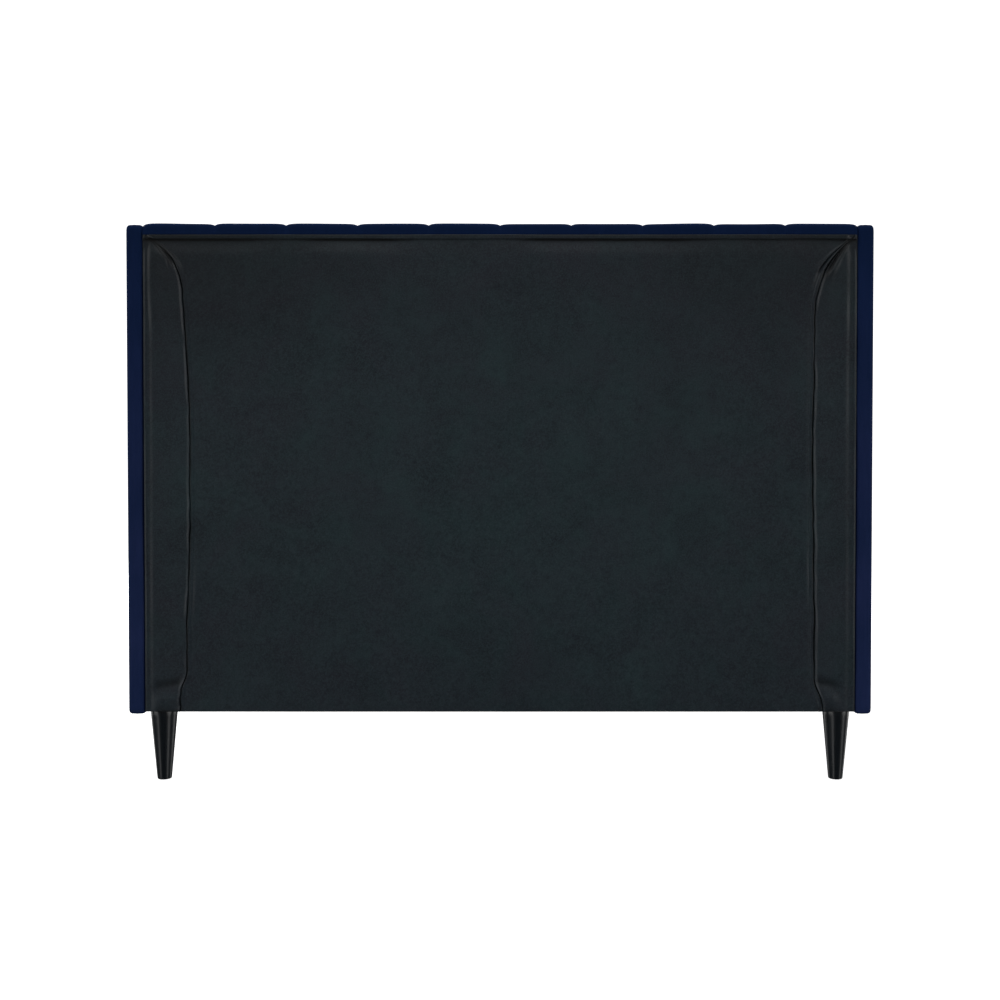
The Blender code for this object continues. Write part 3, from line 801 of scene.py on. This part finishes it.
def wings():
    """Padded wings: boxed covers with a seam inside each edge and softly crowned broad faces."""
    counts = (30, 130)
    for label, side in SIDES.items():
        low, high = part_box(f"wing_cover_{label}")
        middle, half = (low.x + high.x) / 2, (high.x - low.x) / 2
        flat_low, flat_high = (low.y, low.z), (high.y, high.z)
        radii = (WING_BOTTOM_RADIUS, WING_BOTTOM_RADIUS, WING_REAR_RADIUS, WING_FRONT_RADIUS)
        edge = wing_profile(half)
        profile = edge + [(-0.0004, 0.0)] + [(inset, -x) for inset, x in reversed(edge)]

        face, crown = crowned(flat_low, flat_high, radii, counts, WING_FACE_INSET, 0.055)
        crown = WING_CROWN * crown
        sheets = []
        for facing in (1, -1):
            x = facing * (half - WING_CROWN + crown)
            at = sideways(middle + x, face)
            waves = smooth_noise(at, 0.13, 40 + side * facing)
            at[..., 0] += facing * 0.0005 * waves * crown / WING_CROWN
            sheets.append(at)
        rings = []
        for inset, x in profile:
            loop = rounded_outline(flat_low, flat_high, radii, counts, inset)
            rings.append(sideways(middle + x, loop))
        shape = Shape()
        shape.wrapped(sheets[0], rings, sheets[1])
        wing = shape.build(f"velvet_wing_{label}")
        subdivide(wing)
        finish_piece(wing, "velvet", f"wing_cover_{label}")


# ---- rail covers


def side_rail_covers():
    """Cloth over thin foam, wrapped from the top edge over the outer face and under the rail."""
    for label, side in SIDES.items():
        low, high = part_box(f"side_rail_cover_{label}")
        board_low, board_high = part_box(f"side_rail_{label}")
        near, far = (low.x, high.x) if side > 0 else (-high.x, -low.x)
        board_far = (board_high.x if side > 0 else -board_low.x) + GAP
        board_top, board_bottom = board_high.z + GAP, board_low.z - GAP
        top = arc((far - RAIL_EDGE, high.z - RAIL_EDGE), RAIL_EDGE, 90, 0, 8)
        bottom = arc((far - RAIL_EDGE, low.z + RAIL_EDGE), RAIL_EDGE, 0, -90, 8)
        lip = arc((near + RAIL_LIP, high.z - RAIL_LIP), RAIL_LIP, 180, 90, 3)
        tail = arc((near + RAIL_LIP, low.z + RAIL_LIP), RAIL_LIP, 270, 180, 3)
        outside = [[(near, board_top)], lip, top, bottom, tail, [(near, board_bottom)]]
        inside = [(near, board_top), (board_far, board_top)]
        inside += [(board_far, board_bottom), (near, board_bottom)]
        count = RAIL_POINTS_ROUND
        out = resample(np.concatenate(outside), np.linspace(0, 1, count))
        into = resample(np.array(inside), np.linspace(0.012, 0.988, count))
        near_end = (0, 0.001, 0.003, 0.006, 0.011)
        rows = graded(high.y - low.y, near_end, near_end, 0.014)
        y = (low.y + rows)[:, None]
        face = ease((out[:, 0] - far + 0.004) / 0.003)
        height = (out[:, 1] - low.z) / (high.z - low.z)
        crown = face * (1 - (2 * height - 1) ** 2) * RAIL_CROWN
        skin = upright(np.broadcast_to(out, (len(rows), count, 2)), y)
        skin[..., 0] = out[:, 0] - RAIL_CROWN * face + crown
        ripple = smooth_noise(skin * (1, 1, 0.35), 0.045, 11 + side)
        pull = smooth_noise(skin * (1, 1, 0.10), 0.016, 21 + side)
        edges = hump(height, 0.12) + hump(height - 1, 0.12)
        ends = ease(rows / 0.01) * ease((rows[-1] - rows) / 0.01)
        skin[..., 0] += face * ends[:, None] * (0.0003 * ripple + 0.0003 * pull * edges)
        back = upright(np.broadcast_to(into, (len(rows), count, 2)), y)
        skin[..., 0] *= side
        back[..., 0] *= side

        shape = Shape()
        shape.shell(skin, back)
        cover = shape.build(f"velvet_side_rail_{label}", 60)
        finish_piece(cover, "velvet", f"side_rail_cover_{label}")


def foot_rail_cover():
    """A padded tray over the foot rail: front, top, bottom and both ends, open towards the mattress."""
    counts = (190, 30)
    low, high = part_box("foot_rail_cover")
    board_low, board_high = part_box("foot_rail")
    flat_low, flat_high = (low.x, low.z), (high.x, high.z)
    radii = (RAIL_EDGE,) * 4
    face_inset = RAIL_EDGE + 0.004

    def outline(inset, y):
        return upright(rounded_outline(flat_low, flat_high, radii, counts, inset), y)

    face, crown = crowned(flat_low, flat_high, radii, counts, face_inset, 0.07)
    at = upright(face, low.y + RAIL_CROWN * (1 - crown))
    height = (face[..., 1] - low.z) / (high.z - low.z)
    ripple = smooth_noise(at, 0.05, 31)
    pull = smooth_noise(at * (1, 1, 0.10), 0.016, 32)
    at[..., 1] += 0.0003 * ripple + 0.0003 * pull * (hump(height, 0.14) + hump(height - 1, 0.14))

    shoulder = arc((RAIL_EDGE, RAIL_EDGE), RAIL_EDGE, 270, 180, 8)
    rings = [outline(inset, low.y + RAIL_CROWN + depth * 0.9) for inset, depth in shoulder]
    rim = ((0.0, 0.008), (0.0, 0.0015), (0.0005, 0.0003), (0.0015, 0.0))
    rings += [outline(inset, high.y - depth) for inset, depth in rim]
    hollow = (board_low.x - GAP, board_low.z - GAP), (board_high.x + GAP, board_high.z + GAP), (0.001,) * 4
    floor_y = board_low.y - GAP
    rings += [upright(rounded_outline(*hollow, counts), y) for y in (high.y, floor_y)]
    floor = upright(filled(rounded_outline(*hollow, counts, 0.004), counts), floor_y)
    shape = Shape()
    shape.wrapped(at, rings, floor)
    cover = shape.build("velvet_foot_rail", 60)
    finish_piece(cover, "velvet", "foot_rail_cover")


def lower_cover():
    """The padded panel under the channels, in front of the headboard's plywood."""
    counts = (150, 26)
    low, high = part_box("headboard_lower_cover")
    flat_low, flat_high = (low.x, low.z), (high.x, high.z)
    radii = (0.004,) * 4
    face, crown = crowned(flat_low, flat_high, radii, counts, 0.008, 0.06)
    at = upright(face, low.y + 0.0020 * (1 - crown))
    at[..., 1] += 0.0004 * smooth_noise(at, 0.05, 51)

    def outline(inset, y):
        return upright(rounded_outline(flat_low, flat_high, radii, counts, inset), y)

    shoulder = arc((0.007, 0.007), 0.007, 270, 180, 6)
    rings = [outline(inset, low.y + 0.0022 + depth) for inset, depth in shoulder]
    rings.append(outline(0.0, high.y))
    back = filled(rounded_outline(flat_low, flat_high, radii, counts, 0.004), counts)
    shape = Shape()
    shape.wrapped(at, rings, upright(back, high.y))
    cover = shape.build("velvet_lower_panel", 60)
    finish_piece(cover, "velvet", "headboard_lower_cover")


# ---- dust cover


def tuck_inset(label, z, low_z, high_z):
    """How far the tucked edge lies from the wing, at each height."""
    widest, rise, lowest, middle, half = TUCK_BOW[label]
    inset = widest - rise * ((np.maximum(z, lowest) - middle) / half) ** 2
    seed = TUCK_SEED[label]
    inset += 0.0009 * line_noise(z, 0.024, seed) + 0.0012 * line_noise(z, 0.11, seed)
    turn = np.clip((z - high_z + TUCK_TURN) / TUCK_TURN, 0, 0.995)
    inset *= 1 - turn ** TUCK_TURN_POWER[label]
    reach, hook_top, hook_end = TUCK_HOOK[label]
    hook = ease((low_z + hook_top - z) / (hook_top - hook_end))
    inset -= hook * (reach - 0.0012 * line_noise(z, 0.010, seed + 3))
    return np.maximum(inset, 0.007)


def hem_height(down, x):
    """The rolled hem along the top, with an uneven pulled-in crease under it, and painted shade in that
    crease and along the hem.
    """
    wave = line_noise(x, 0.055, 71)
    edge = HEM_HEIGHT - 0.0014 + 0.0004 * wave
    pulled = 0.35 + 0.65 * ease(0.75 + line_noise(x, 0.16, 72))
    reach = 0.0030 + 0.0014 * pulled
    roll = ease(down / 0.0014) * (1 - ease((down - edge) / reach))
    height = (HEM_RISE + HEM_SINK * pulled) * roll - HEM_SINK * pulled
    height += HEM_SINK * pulled * ease((down - edge - reach - 0.0022) / (0.0320 + 0.0060 * ease(wave)))
    height -= 0.0012 * (1 - ease(down / 0.0007))
    # Painted shade: dark in the crease under the hem, and fading down from the hem.
    dark = ease((down - edge + 0.0004) / 0.0018) * (1 - ease((down - edge - reach - 0.0004) / 0.0044))
    shade = HEM_SHADE * (1 - ease((down - edge + 0.0010) / 0.0020))
    shade = np.maximum(shade, 0.4 * HEM_SHADE * (1 - ease((down - edge) / 0.050)))
    return height, np.maximum(shade, HEM_CREASE_SHADE * pulled * dark)


def edge_height(across, z, label):
    """The narrow fold beside the wing, and the soft ridge where the cloth goes over the frame's edge."""
    height = -0.0022 * (1 - ease(across / 0.0012))
    least, start, reach, place, shift = EDGE_RIDGE[label]
    strength = least + (1 - least) * ease((z - start) / reach)
    place = place - shift * ease((z - 1.00) / 0.12)
    strength = strength * (0.75 + 0.35 * line_noise(z, 0.07, 82))
    place = place + 0.0012 * line_noise(z, 0.16, 81)
    height -= EDGE_DROP * (0.25 + 0.75 * strength) * (1 - ease((across - place + 0.0040) / 0.0085))
    height += 0.0008 * hump(across - EDGE_FOLD, 0.0019) * (0.8 + 0.5 * line_noise(z, 0.09, 83))
    return height + 0.0006 * strength * hump(across - place - 0.0060, 0.0060)


def vigour_of_line(z, seed):
    """How deep the tuck is pulled in, from 0 to 1 along its length."""
    return ease(0.75 + 0.6 * line_noise(z, 0.040, seed + 11))


def tuck_height(off, z, low_z, label):
    """The strip's rolled edge, the crease beside it and the turned cloth under the sheet, with painted
    shade along the crease.

    off is the distance from the tucked edge: below 0 on the strip, above 0 on the sheet.
    """
    seed = TUCK_SEED[label] + 30
    vigour = 0.72 + 0.75 * line_noise(z, 0.030, seed) + 0.45 * line_noise(z, 0.12, seed + 5)
    if label == "left":
        vigour += 0.25 + 0.6 * hump(z - 1.092, 0.026)
    vigour = np.maximum(vigour, 0.12) * ease((1.205 - z) / 0.05)
    reach = 0.0062 + 0.0012 * line_noise(z, 0.05, seed + 9)
    roll = 0.0016 * vigour * ease((off + reach + 0.0012) / reach) * (1 - ease((off + 0.0013) / 0.0011))
    strip = 0.0009 * ease(-off / 0.0008) * (1 - 0.6 * ease(-off / 0.045))
    depth = 0.0034 * (0.8 + 0.3 * line_noise(z, 0.045, seed + 7))
    crease = -depth * np.where(off < 0, hump(off, 0.0007), hump(off, 0.0013))
    under = 0.0010 if label == "left" else 0.0005
    turned = under * ease(off / 0.0016) * (1 - ease((off - 0.0070) / 0.0036))
    turned -= 0.5 * under * hump(off - 0.0110, 0.0018)
    bunched = 0.0016 * line_noise(z + 0.5 * off, 0.0060, seed + 13) * hump(off + 0.0040, 0.0065)
    crease = crease + bunched * (1 - ease((z - low_z - 0.028) / 0.030))
    # Painted shade along the tucked edge's crease.
    dark = np.where(off < 0, hump(off, 0.0012), hump(off, 0.0025))
    return roll + strip + crease + turned, TUCK_CREASE_SHADE * vigour_of_line(z, seed) * dark


def corner_height(off, z, label):
    """Folds that gather into each top corner, and a band of painted shade along them."""
    reach = CORNER_REACH[label]
    weight = ease((z - 1.224 + reach) / (0.5 * reach)) * ease((1.2215 - z) / 0.008)
    open_up = np.clip((1.236 - z) / 0.080, 0.15, 1.0)
    height = 0.0
    for place, rise, width in CORNER_FOLDS[label]:
        height = height + rise * hump(off - place * open_up, width * (0.45 + 0.55 * open_up))
    ruffle = 1 + 0.6 * line_noise(z, 0.014, 95)
    # Painted shade in a band where the cloth gathers.
    place, width = CORNER_SHADE_BAND[label]
    gathered_shade = hump(off - place * open_up, width * (0.65 + 0.35 * open_up))
    gathered_shade *= 0.80 + 0.2 * line_noise(z, 0.009, 96)
    pucker = 0.0009 * line_noise(off + 0.35 * z, 0.0065, 97) * hump(off, 0.020)
    return weight * (height * ruffle + pucker), 0.85 * weight * gathered_shade


def leg_pillow(across, z, low_z, label):
    """Cloth bunched over each leg: a crease across the strip and a full pocket below it, with painted shade
    in the crease and along the foot.
    """
    start, grow, end, slant = PILLOW[label]
    window = ease((across - start) / grow) * (1 - ease((across - end) / 0.014))
    above = z - low_z
    slope = 0.20 * (across - 0.043)
    off = above - 0.057 - slope
    height = -0.0034 * np.where(off < 0, hump(off, 0.0065), hump(off, 0.0140)) * window
    height += 0.0030 * hump(above - 0.027 - slope, 0.0125) * window
    height += 0.0016 * hump(above - 0.022 - slant * (0.072 - across), 0.0045) * window
    # Painted shade in the crease and along the cloth's foot.
    shade = 0.50 * hump(off - 0.004, 0.0100) + 0.45 * (1 - ease(above / 0.018))
    return height, shade * window


def tenths(*places):
    """Places given in tenths of a millimetre."""
    return np.array(places) * 1e-4


def dust_cover():
    """Thin black cloth stretched over the frame's rear, hemmed along the top and tucked at both sides. Its
    crease attribute holds painted shade.
    """
    low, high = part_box("dust_cover")
    rear = high.y
    by_hem = tenths(
        0, 4, 10, 18, 30, 45, 60, 75, 86, 93, 98, 102, 106, 110, 116, 125, 140, 160, 190, 225, 265, 310
    )
    by_foot = tenths(0, 4, 10, 18, 30, 45, 65, 90, 125, 170)
    down = graded(high.z - low.z, by_hem, by_foot, 0.0058)
    z = high.z - down
    by_wing = tenths(0, 5, 10, 16, 24, 33, 42, 49, 56, 63, 72, 85, 100, 115, 130, 145, 165, 190, 220, 260)
    by_tuck = tenths(0, 3, 6, 10, 15, 21, 28, 37, 48, 62, 80, 105, 135, 170)
    strip = graded(STRIP_LENGTH, by_wing, by_tuck, 0.006) / STRIP_LENGTH
    beside = tenths(3, 7, 12, 18, 26, 36, 48, 62, 75, 88, 100, 114, 130, 155, 190, 235)
    middle = np.linspace(0, 1, 112)[1:-1]

    insets = {label: tuck_inset(label, z, low.z, high.z)[:, None] for label in SIDES}
    left_line, right_line = low.x + insets["left"], high.x - insets["right"]
    first, last = left_line + beside[-1], right_line - beside[-1]
    columns = [
        low.x + insets["left"] * strip,
        left_line + beside,
        first + (last - first) * middle,
        right_line - beside[::-1],
        high.x - insets["right"] * strip[::-1],
    ]
    x = np.concatenate(columns, axis=1)
    z_grid = np.broadcast_to(z[:, None], x.shape)
    height, crease = hem_height(down[:, None], x)
    for label, side in SIDES.items():
        across = side * ((high.x if side > 0 else low.x) - x)
        off = across - insets[label]
        height = height + edge_height(across, z_grid, label)
        parts = (
            tuck_height(off, z_grid, low.z, label),
            corner_height(off, z_grid, label),
            leg_pillow(across, z_grid, low.z, label),
        )
        # Painted shade over the top corners.
        shade = CORNER_SHADE[label] * (1 - ease(np.hypot(0.6 * across, down[:, None]) / CORNER_SHADE_REACH))
        crease = 1 - (1 - crease) * (1 - shade)
        for part, dark in parts:
            height = height + part
            crease = 1 - (1 - crease) * (1 - dark)
        bulge = hump(off - 0.018, 0.0095) * hump(z_grid - BULGE_HEIGHT[label], 0.055)
        height = height + 0.0020 * bulge
    height -= 0.0026 * (1 - ease((z_grid - low.z) / 0.0026))
    flat = np.stack([x, x * 0, z_grid], axis=2)
    slack = 0.0013 * smooth_noise(flat, 0.30, 101) + 0.0007 * smooth_noise(flat, 0.09, 102)
    slack += 0.00007 * smooth_noise(flat, 0.012, 103)
    held = ease(down[:, None] / 0.03) * ease((z_grid - low.z) / 0.03)
    height = height + slack * held

    height = np.maximum(height + SHEET_LIFT, -SHEET_DEEPEST)
    sheet = np.stack([x, rear + height, z_grid], axis=2)
    for end, side in ((0, -1), (-1, 1)):
        edge = sheet[:, end].copy()
        for out, depth in SHEET_TURN:
            column = np.stack([edge[:, 0] + side * out, np.full(len(z), rear - depth), z], axis=1)[:, None]
            sheet = np.concatenate([column, sheet] if side < 0 else [sheet, column], axis=1)
    crease = np.pad(np.broadcast_to(crease, x.shape), ((0, 0), (len(SHEET_TURN),) * 2))

    shape = Shape()
    shape.skin(shape.add(sheet))
    cover = shape.build("dust_cover_cloth")
    shade = cover.data.attributes.new("crease", "FLOAT", "POINT")
    shade.data.foreach_set("value", np.clip(crease, 0, 1).ravel())
    if cover.data.polygons[0].normal.y < 0:
        cover.data.flip_normals()
    solid = cover.modifiers.new("Solidify", "SOLIDIFY")
    solid.thickness = SHEET_THICKNESS
    solid.offset = -1
    finish_piece(cover, "dust_cover", "dust_cover")


# ---- turned pieces


def standing(node):
    """The centre of an upright round piece's foot, its height and its radius."""
    low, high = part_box(node)
    centre = np.array([(low.x + high.x) / 2, (low.y + high.y) / 2, low.z])
    return centre, high.z - low.z, (high.x - low.x) / 2


def turned(name, profile, centre, sides, slot, *replaced, body=BODY, flat_angle=35):
    """A turned piece from (radius, height) points that start and end on its axis."""
    shape = Shape()
    turns = full_turn(sides)
    rings = [shape.add(circle(radius, height, turns) + centre) for radius, height in profile[1:-1]]
    shape.skin(np.stack(rings), wrap=True)
    for ring, (_, height) in ((rings[0], profile[0]), (rings[-1], profile[-1])):
        pole = int(shape.add([[centre[0], centre[1], centre[2] + height]])[0])
        for a, b in zip(ring, np.roll(ring, -1)):
            shape.faces.append((pole, int(a), int(b)))
    made = shape.build(name, flat_angle)
    return finish_piece(made, slot, *replaced, body=body)


def legs():
    """Tapered lacquered legs with a softened toe and a fine chamfer at the top."""
    for label in SIDES:
        for end in ("head", "foot"):
            node = f"leg_{end}_{label}"
            centre, tall, top = standing(node)
            toe = top * LEG_TOE_SHARE
            profile = [(0, 0), (toe - 0.0042, 0), (toe - 0.0028, 0.0002)]
            profile += [tuple(p) for p in arc((toe - 0.0026, 0.0030), 0.0028, -80, 0, 6)]
            steps = np.linspace(0.05, 0.99, 12)
            profile += [(toe + (top - toe) * s, tall * s) for s in steps]
            profile += [(top - 0.0003, tall - 0.0006), (top - 0.0012, tall), (0, tall)]
            turned(f"lacquered_{node}", profile, centre, 96, "leg_lacquer", node)


def middle_supports():
    """Moulded centre legs with a collar, and screw feet with a grip edge that turn in them."""
    for number in (1, 2):
        node = f"centre_leg_{number}"
        centre, tall, top = standing(node)
        foot = top - 0.004
        collar = [(foot + 0.0007, 0.020), (foot + 0.0003, 0.0212), (foot + 0.0003, 0.0228)]
        rim = [(top - 0.0006, tall - 0.0120), (top, tall - 0.0110), (top, tall - 0.0008)]
        profile = [(0, 0.0), (foot - 0.0010, 0.0), (foot, 0.0010), *collar, (foot + 0.0008, 0.0240)]
        profile += [*rim, (top - 0.0008, tall), (0, tall)]
        turned(f"moulded_{node}", profile, centre, 72, "plastic", node)
        screw_foot(number)


def screw_foot(number):
    """A foot that screws into its centre leg: a disc with a fluted rim, a hub and a threaded stem."""
    node = f"levelling_foot_{number}"
    centre, tall, rim = standing(node)
    turns = full_turn(FOOT_SIDES)
    flutes = 1 - FOOT_FLUTE * (0.5 + 0.5 * np.cos(FOOT_FLUTES * turns)) ** 3
    disc = [(0.55, 0.0, 1), (0.90, 0.0, 1), (0.965, 0.0004, flutes), (1.0, 0.0012, flutes)]
    disc += [(1.0, 0.0042, flutes), (0.975, 0.0049, flutes), (0.93, 0.0053, 1)]
    disc += [(0.48, 0.0094, 1), (0.45, 0.0099, 1), (0.22, 0.0100, 1)]
    rings = [circle(rim * share * around, height, turns) for share, height, around in disc]
    for height in np.arange(FOOT_STEM_BASE, tall - 0.0012, THREAD_PITCH / 4):
        phase = turns - 2 * math.pi * height / THREAD_PITCH
        rings.append(circle(STEM_RADIUS - THREAD_DEPTH * (0.5 + 0.5 * np.cos(phase)), height, turns))
    rings.append(circle(STEM_RADIUS * 0.7, tall, turns))

    shape = Shape()
    shape.rod([ring + centre for ring in rings])
    made = shape.build(f"moulded_{node}", 35)
    finish_piece(made, "plastic", node, body=f"foot_screw_{number}")


# ---- fasteners


def hexagon_bolts(name, places):
    """Hexagon heads with washers at (point, outward direction) places, as one piece."""
    shape = Shape()
    corners = 1 / math.cos(math.pi / 6)
    for point, outward in places:
        turn = np.array(Vector(outward).to_track_quat("Z", "Y").to_matrix()).T
        for profile, sides, widen in ((BOLT_WASHER, 36, 1.0), (BOLT_HEAD, 6, corners)):
            turns = full_turn(sides)
            rings = [circle(BOLT_RADIUS * share * widen, height, turns) for share, height in profile]
            shape.rod([ring @ turn + point for ring in rings])
    finish_piece(shape.build(name, 25), "steel")


def bracket_bolts():
    """Two bolts in each leaf of the brackets that join the side rails to the headboard."""
    for label, side in SIDES.items():
        low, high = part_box(f"rail_bracket_{label}")
        on_rail_x = high.x - BRACKET_LEAF if side > 0 else low.x + BRACKET_LEAF
        on_head_x = low.x + 0.018 if side > 0 else high.x - 0.018
        places = []
        for z in (low.z + 0.016, high.z - 0.016):
            places.append(((on_rail_x, low.y + 0.018, z), (-side, 0, 0)))
            places.append(((on_head_x, high.y - BRACKET_LEAF, z), (0, -1, 0)))
        hexagon_bolts(f"bracket_bolts_{label}", places)


def slat_screws():
    """Countersunk screws with a cross recess, two at each end of every slat."""
    shape = Shape()
    turns = full_turn(24)
    recess = 1 - 0.62 * np.abs(np.cos(2 * turns)) ** 6
    profile = [*SCREW_HEAD, *((radius * recess, height) for radius, height in SCREW_RECESS)]
    rings = [circle(radius, height, turns) for radius, height in profile]
    for number in range(1, SLATS + 1):
        low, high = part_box(f"slat_{number:02d}")
        for x in (low.x + 0.012, high.x - 0.012):
            for y in (low.y + 0.022, high.y - 0.022):
                shape.rod([ring + (x, y, high.z) for ring in rings])
    finish_piece(shape.build("slat_screws", 30), "steel")


channel_pads()
wings()
side_rail_covers()
foot_rail_cover()
lower_cover()
dust_cover()
legs()
middle_supports()
bracket_bolts()
slat_screws()


# ---- stage


def studio_world():
    """White to the camera; to the object, a dim room with strip lights and a bright ceiling.

    Tall strips stand at both sides above the horizon and light the cloth's folds. Low strips
    below it make the highlights along the legs.
    """
    world = bpy.data.worlds.new("studio")
    bpy.context.scene.world = world
    world.use_nodes = True
    n = Nodes(world.node_tree)

    def between(value, start, end, low, high):
        return n.span(value, low, high, start, end, interpolation_type="SMOOTHSTEP")

    view = n.add("ShaderNodeTexCoord", {}, "Generated")
    x, y, z = (n.add("ShaderNodeSeparateXYZ", {"Vector": view}, axis) for axis in "XYZ")
    turn = n.maths("ARCTAN2", x, n.maths("ABSOLUTE", y))
    upward = between(z, -0.26, -0.16, 0.0, 1.0)
    downward = n.maths("SUBTRACT", 1.0, upward)
    room = between(z, -0.26, -0.16, GROUND_LEVEL, ROOM_LEVEL)
    light = n.maths("ADD", room, between(z, 0.50, 0.85, 0.0, CEILING_LEVEL))
    upward = n.maths("MULTIPLY", upward, between(z, 0.45, 0.70, 1.0, 0.0))
    tall = (TALL_STRIPS, TALL_HALF_WIDTH, upward)
    for strips, half, band in (tall, (LOW_STRIPS, LOW_HALF_WIDTH, downward)):
        for angle, strength in strips:
            off = n.maths("ABSOLUTE", n.maths("SUBTRACT", turn, math.radians(angle)))
            strip = between(off, math.radians(half - 3), math.radians(half + 3), strength, 0.0)
            light = n.maths("ADD", light, n.maths("MULTIPLY", strip, band))
    seen = n.maths("MULTIPLY", n.add("ShaderNodeLightPath", {}, "Is Camera Ray"), CAMERA_WHITE)
    back = world.node_tree.nodes["Background"].inputs
    n.feed(back["Strength"], n.maths("ADD", light, seen))
    n.feed(back["Color"], (1, 1, 1, 1))


def stage_and_lights():
    """The studio's world, a pale floor that only the camera sees, and three soft lights."""
    studio_world()
    shape = Shape()
    ends = (-FLOOR_HALF, FLOOR_HALF)
    shape.skin(shape.add([[(x, y, 0) for x in ends] for y in ends]))
    floor = shape.build("studio_floor")
    s = Shader("studio_floor")
    s.set(Roughness=0.9, Specular_IOR_Level=0.0)
    s.set(Base_Color=(0.8, 0.8, 0.8, 1), Emission_Color=(1, 1, 1, 1), Emission_Strength=FLOOR_GLOW)
    floor.data.materials.append(s.material)
    floor.visible_glossy = False
    floor.visible_diffuse = False

    def area(name, place, target, size, power):
        """A rectangular light that faces its target."""
        light = bpy.data.lights.new(name, "AREA")
        light.shape = "RECTANGLE"
        light.size, light.size_y = size
        light.energy = power
        lamp = bpy.data.objects.new(name, light)
        lamp.location = place
        lamp.rotation_euler = (Vector(target) - Vector(place)).to_track_quat("-Z", "Y").to_euler()
        bpy.context.scene.collection.objects.link(lamp)

    area("soft_rear", (0.5, 5.6, 6.4), (0, 0, 0.6), (2.6, 1.6), 42)
    area("soft_front", (3.4, -4.4, 3.2), (0, 0.6, 0.6), (1.6, 1.6), 260)
    area("soft_top", (0, 0, 4.6), (0, 0, 0.6), (4.0, 4.0), 40)


def camera():
    """Straight behind the headboard, upright and level but for a slight tilt."""
    data = bpy.data.cameras.new("camera")
    data.sensor_width = CAMERA_SENSOR
    data.lens = CAMERA_SENSOR * CAMERA_DISTANCE / CAMERA_FRAME_WIDTH
    made = bpy.data.objects.new("camera", data)
    made.location = (0, cad_high.y + CAMERA_DISTANCE, CAMERA_HEIGHT)
    made.rotation_euler = (math.radians(90 - CAMERA_TILT), 0, math.radians(180))
    bpy.context.scene.collection.objects.link(made)
    bpy.context.scene.camera = made


bpy.context.scene.view_settings.view_transform = "Standard"
stage_and_lights()
camera()
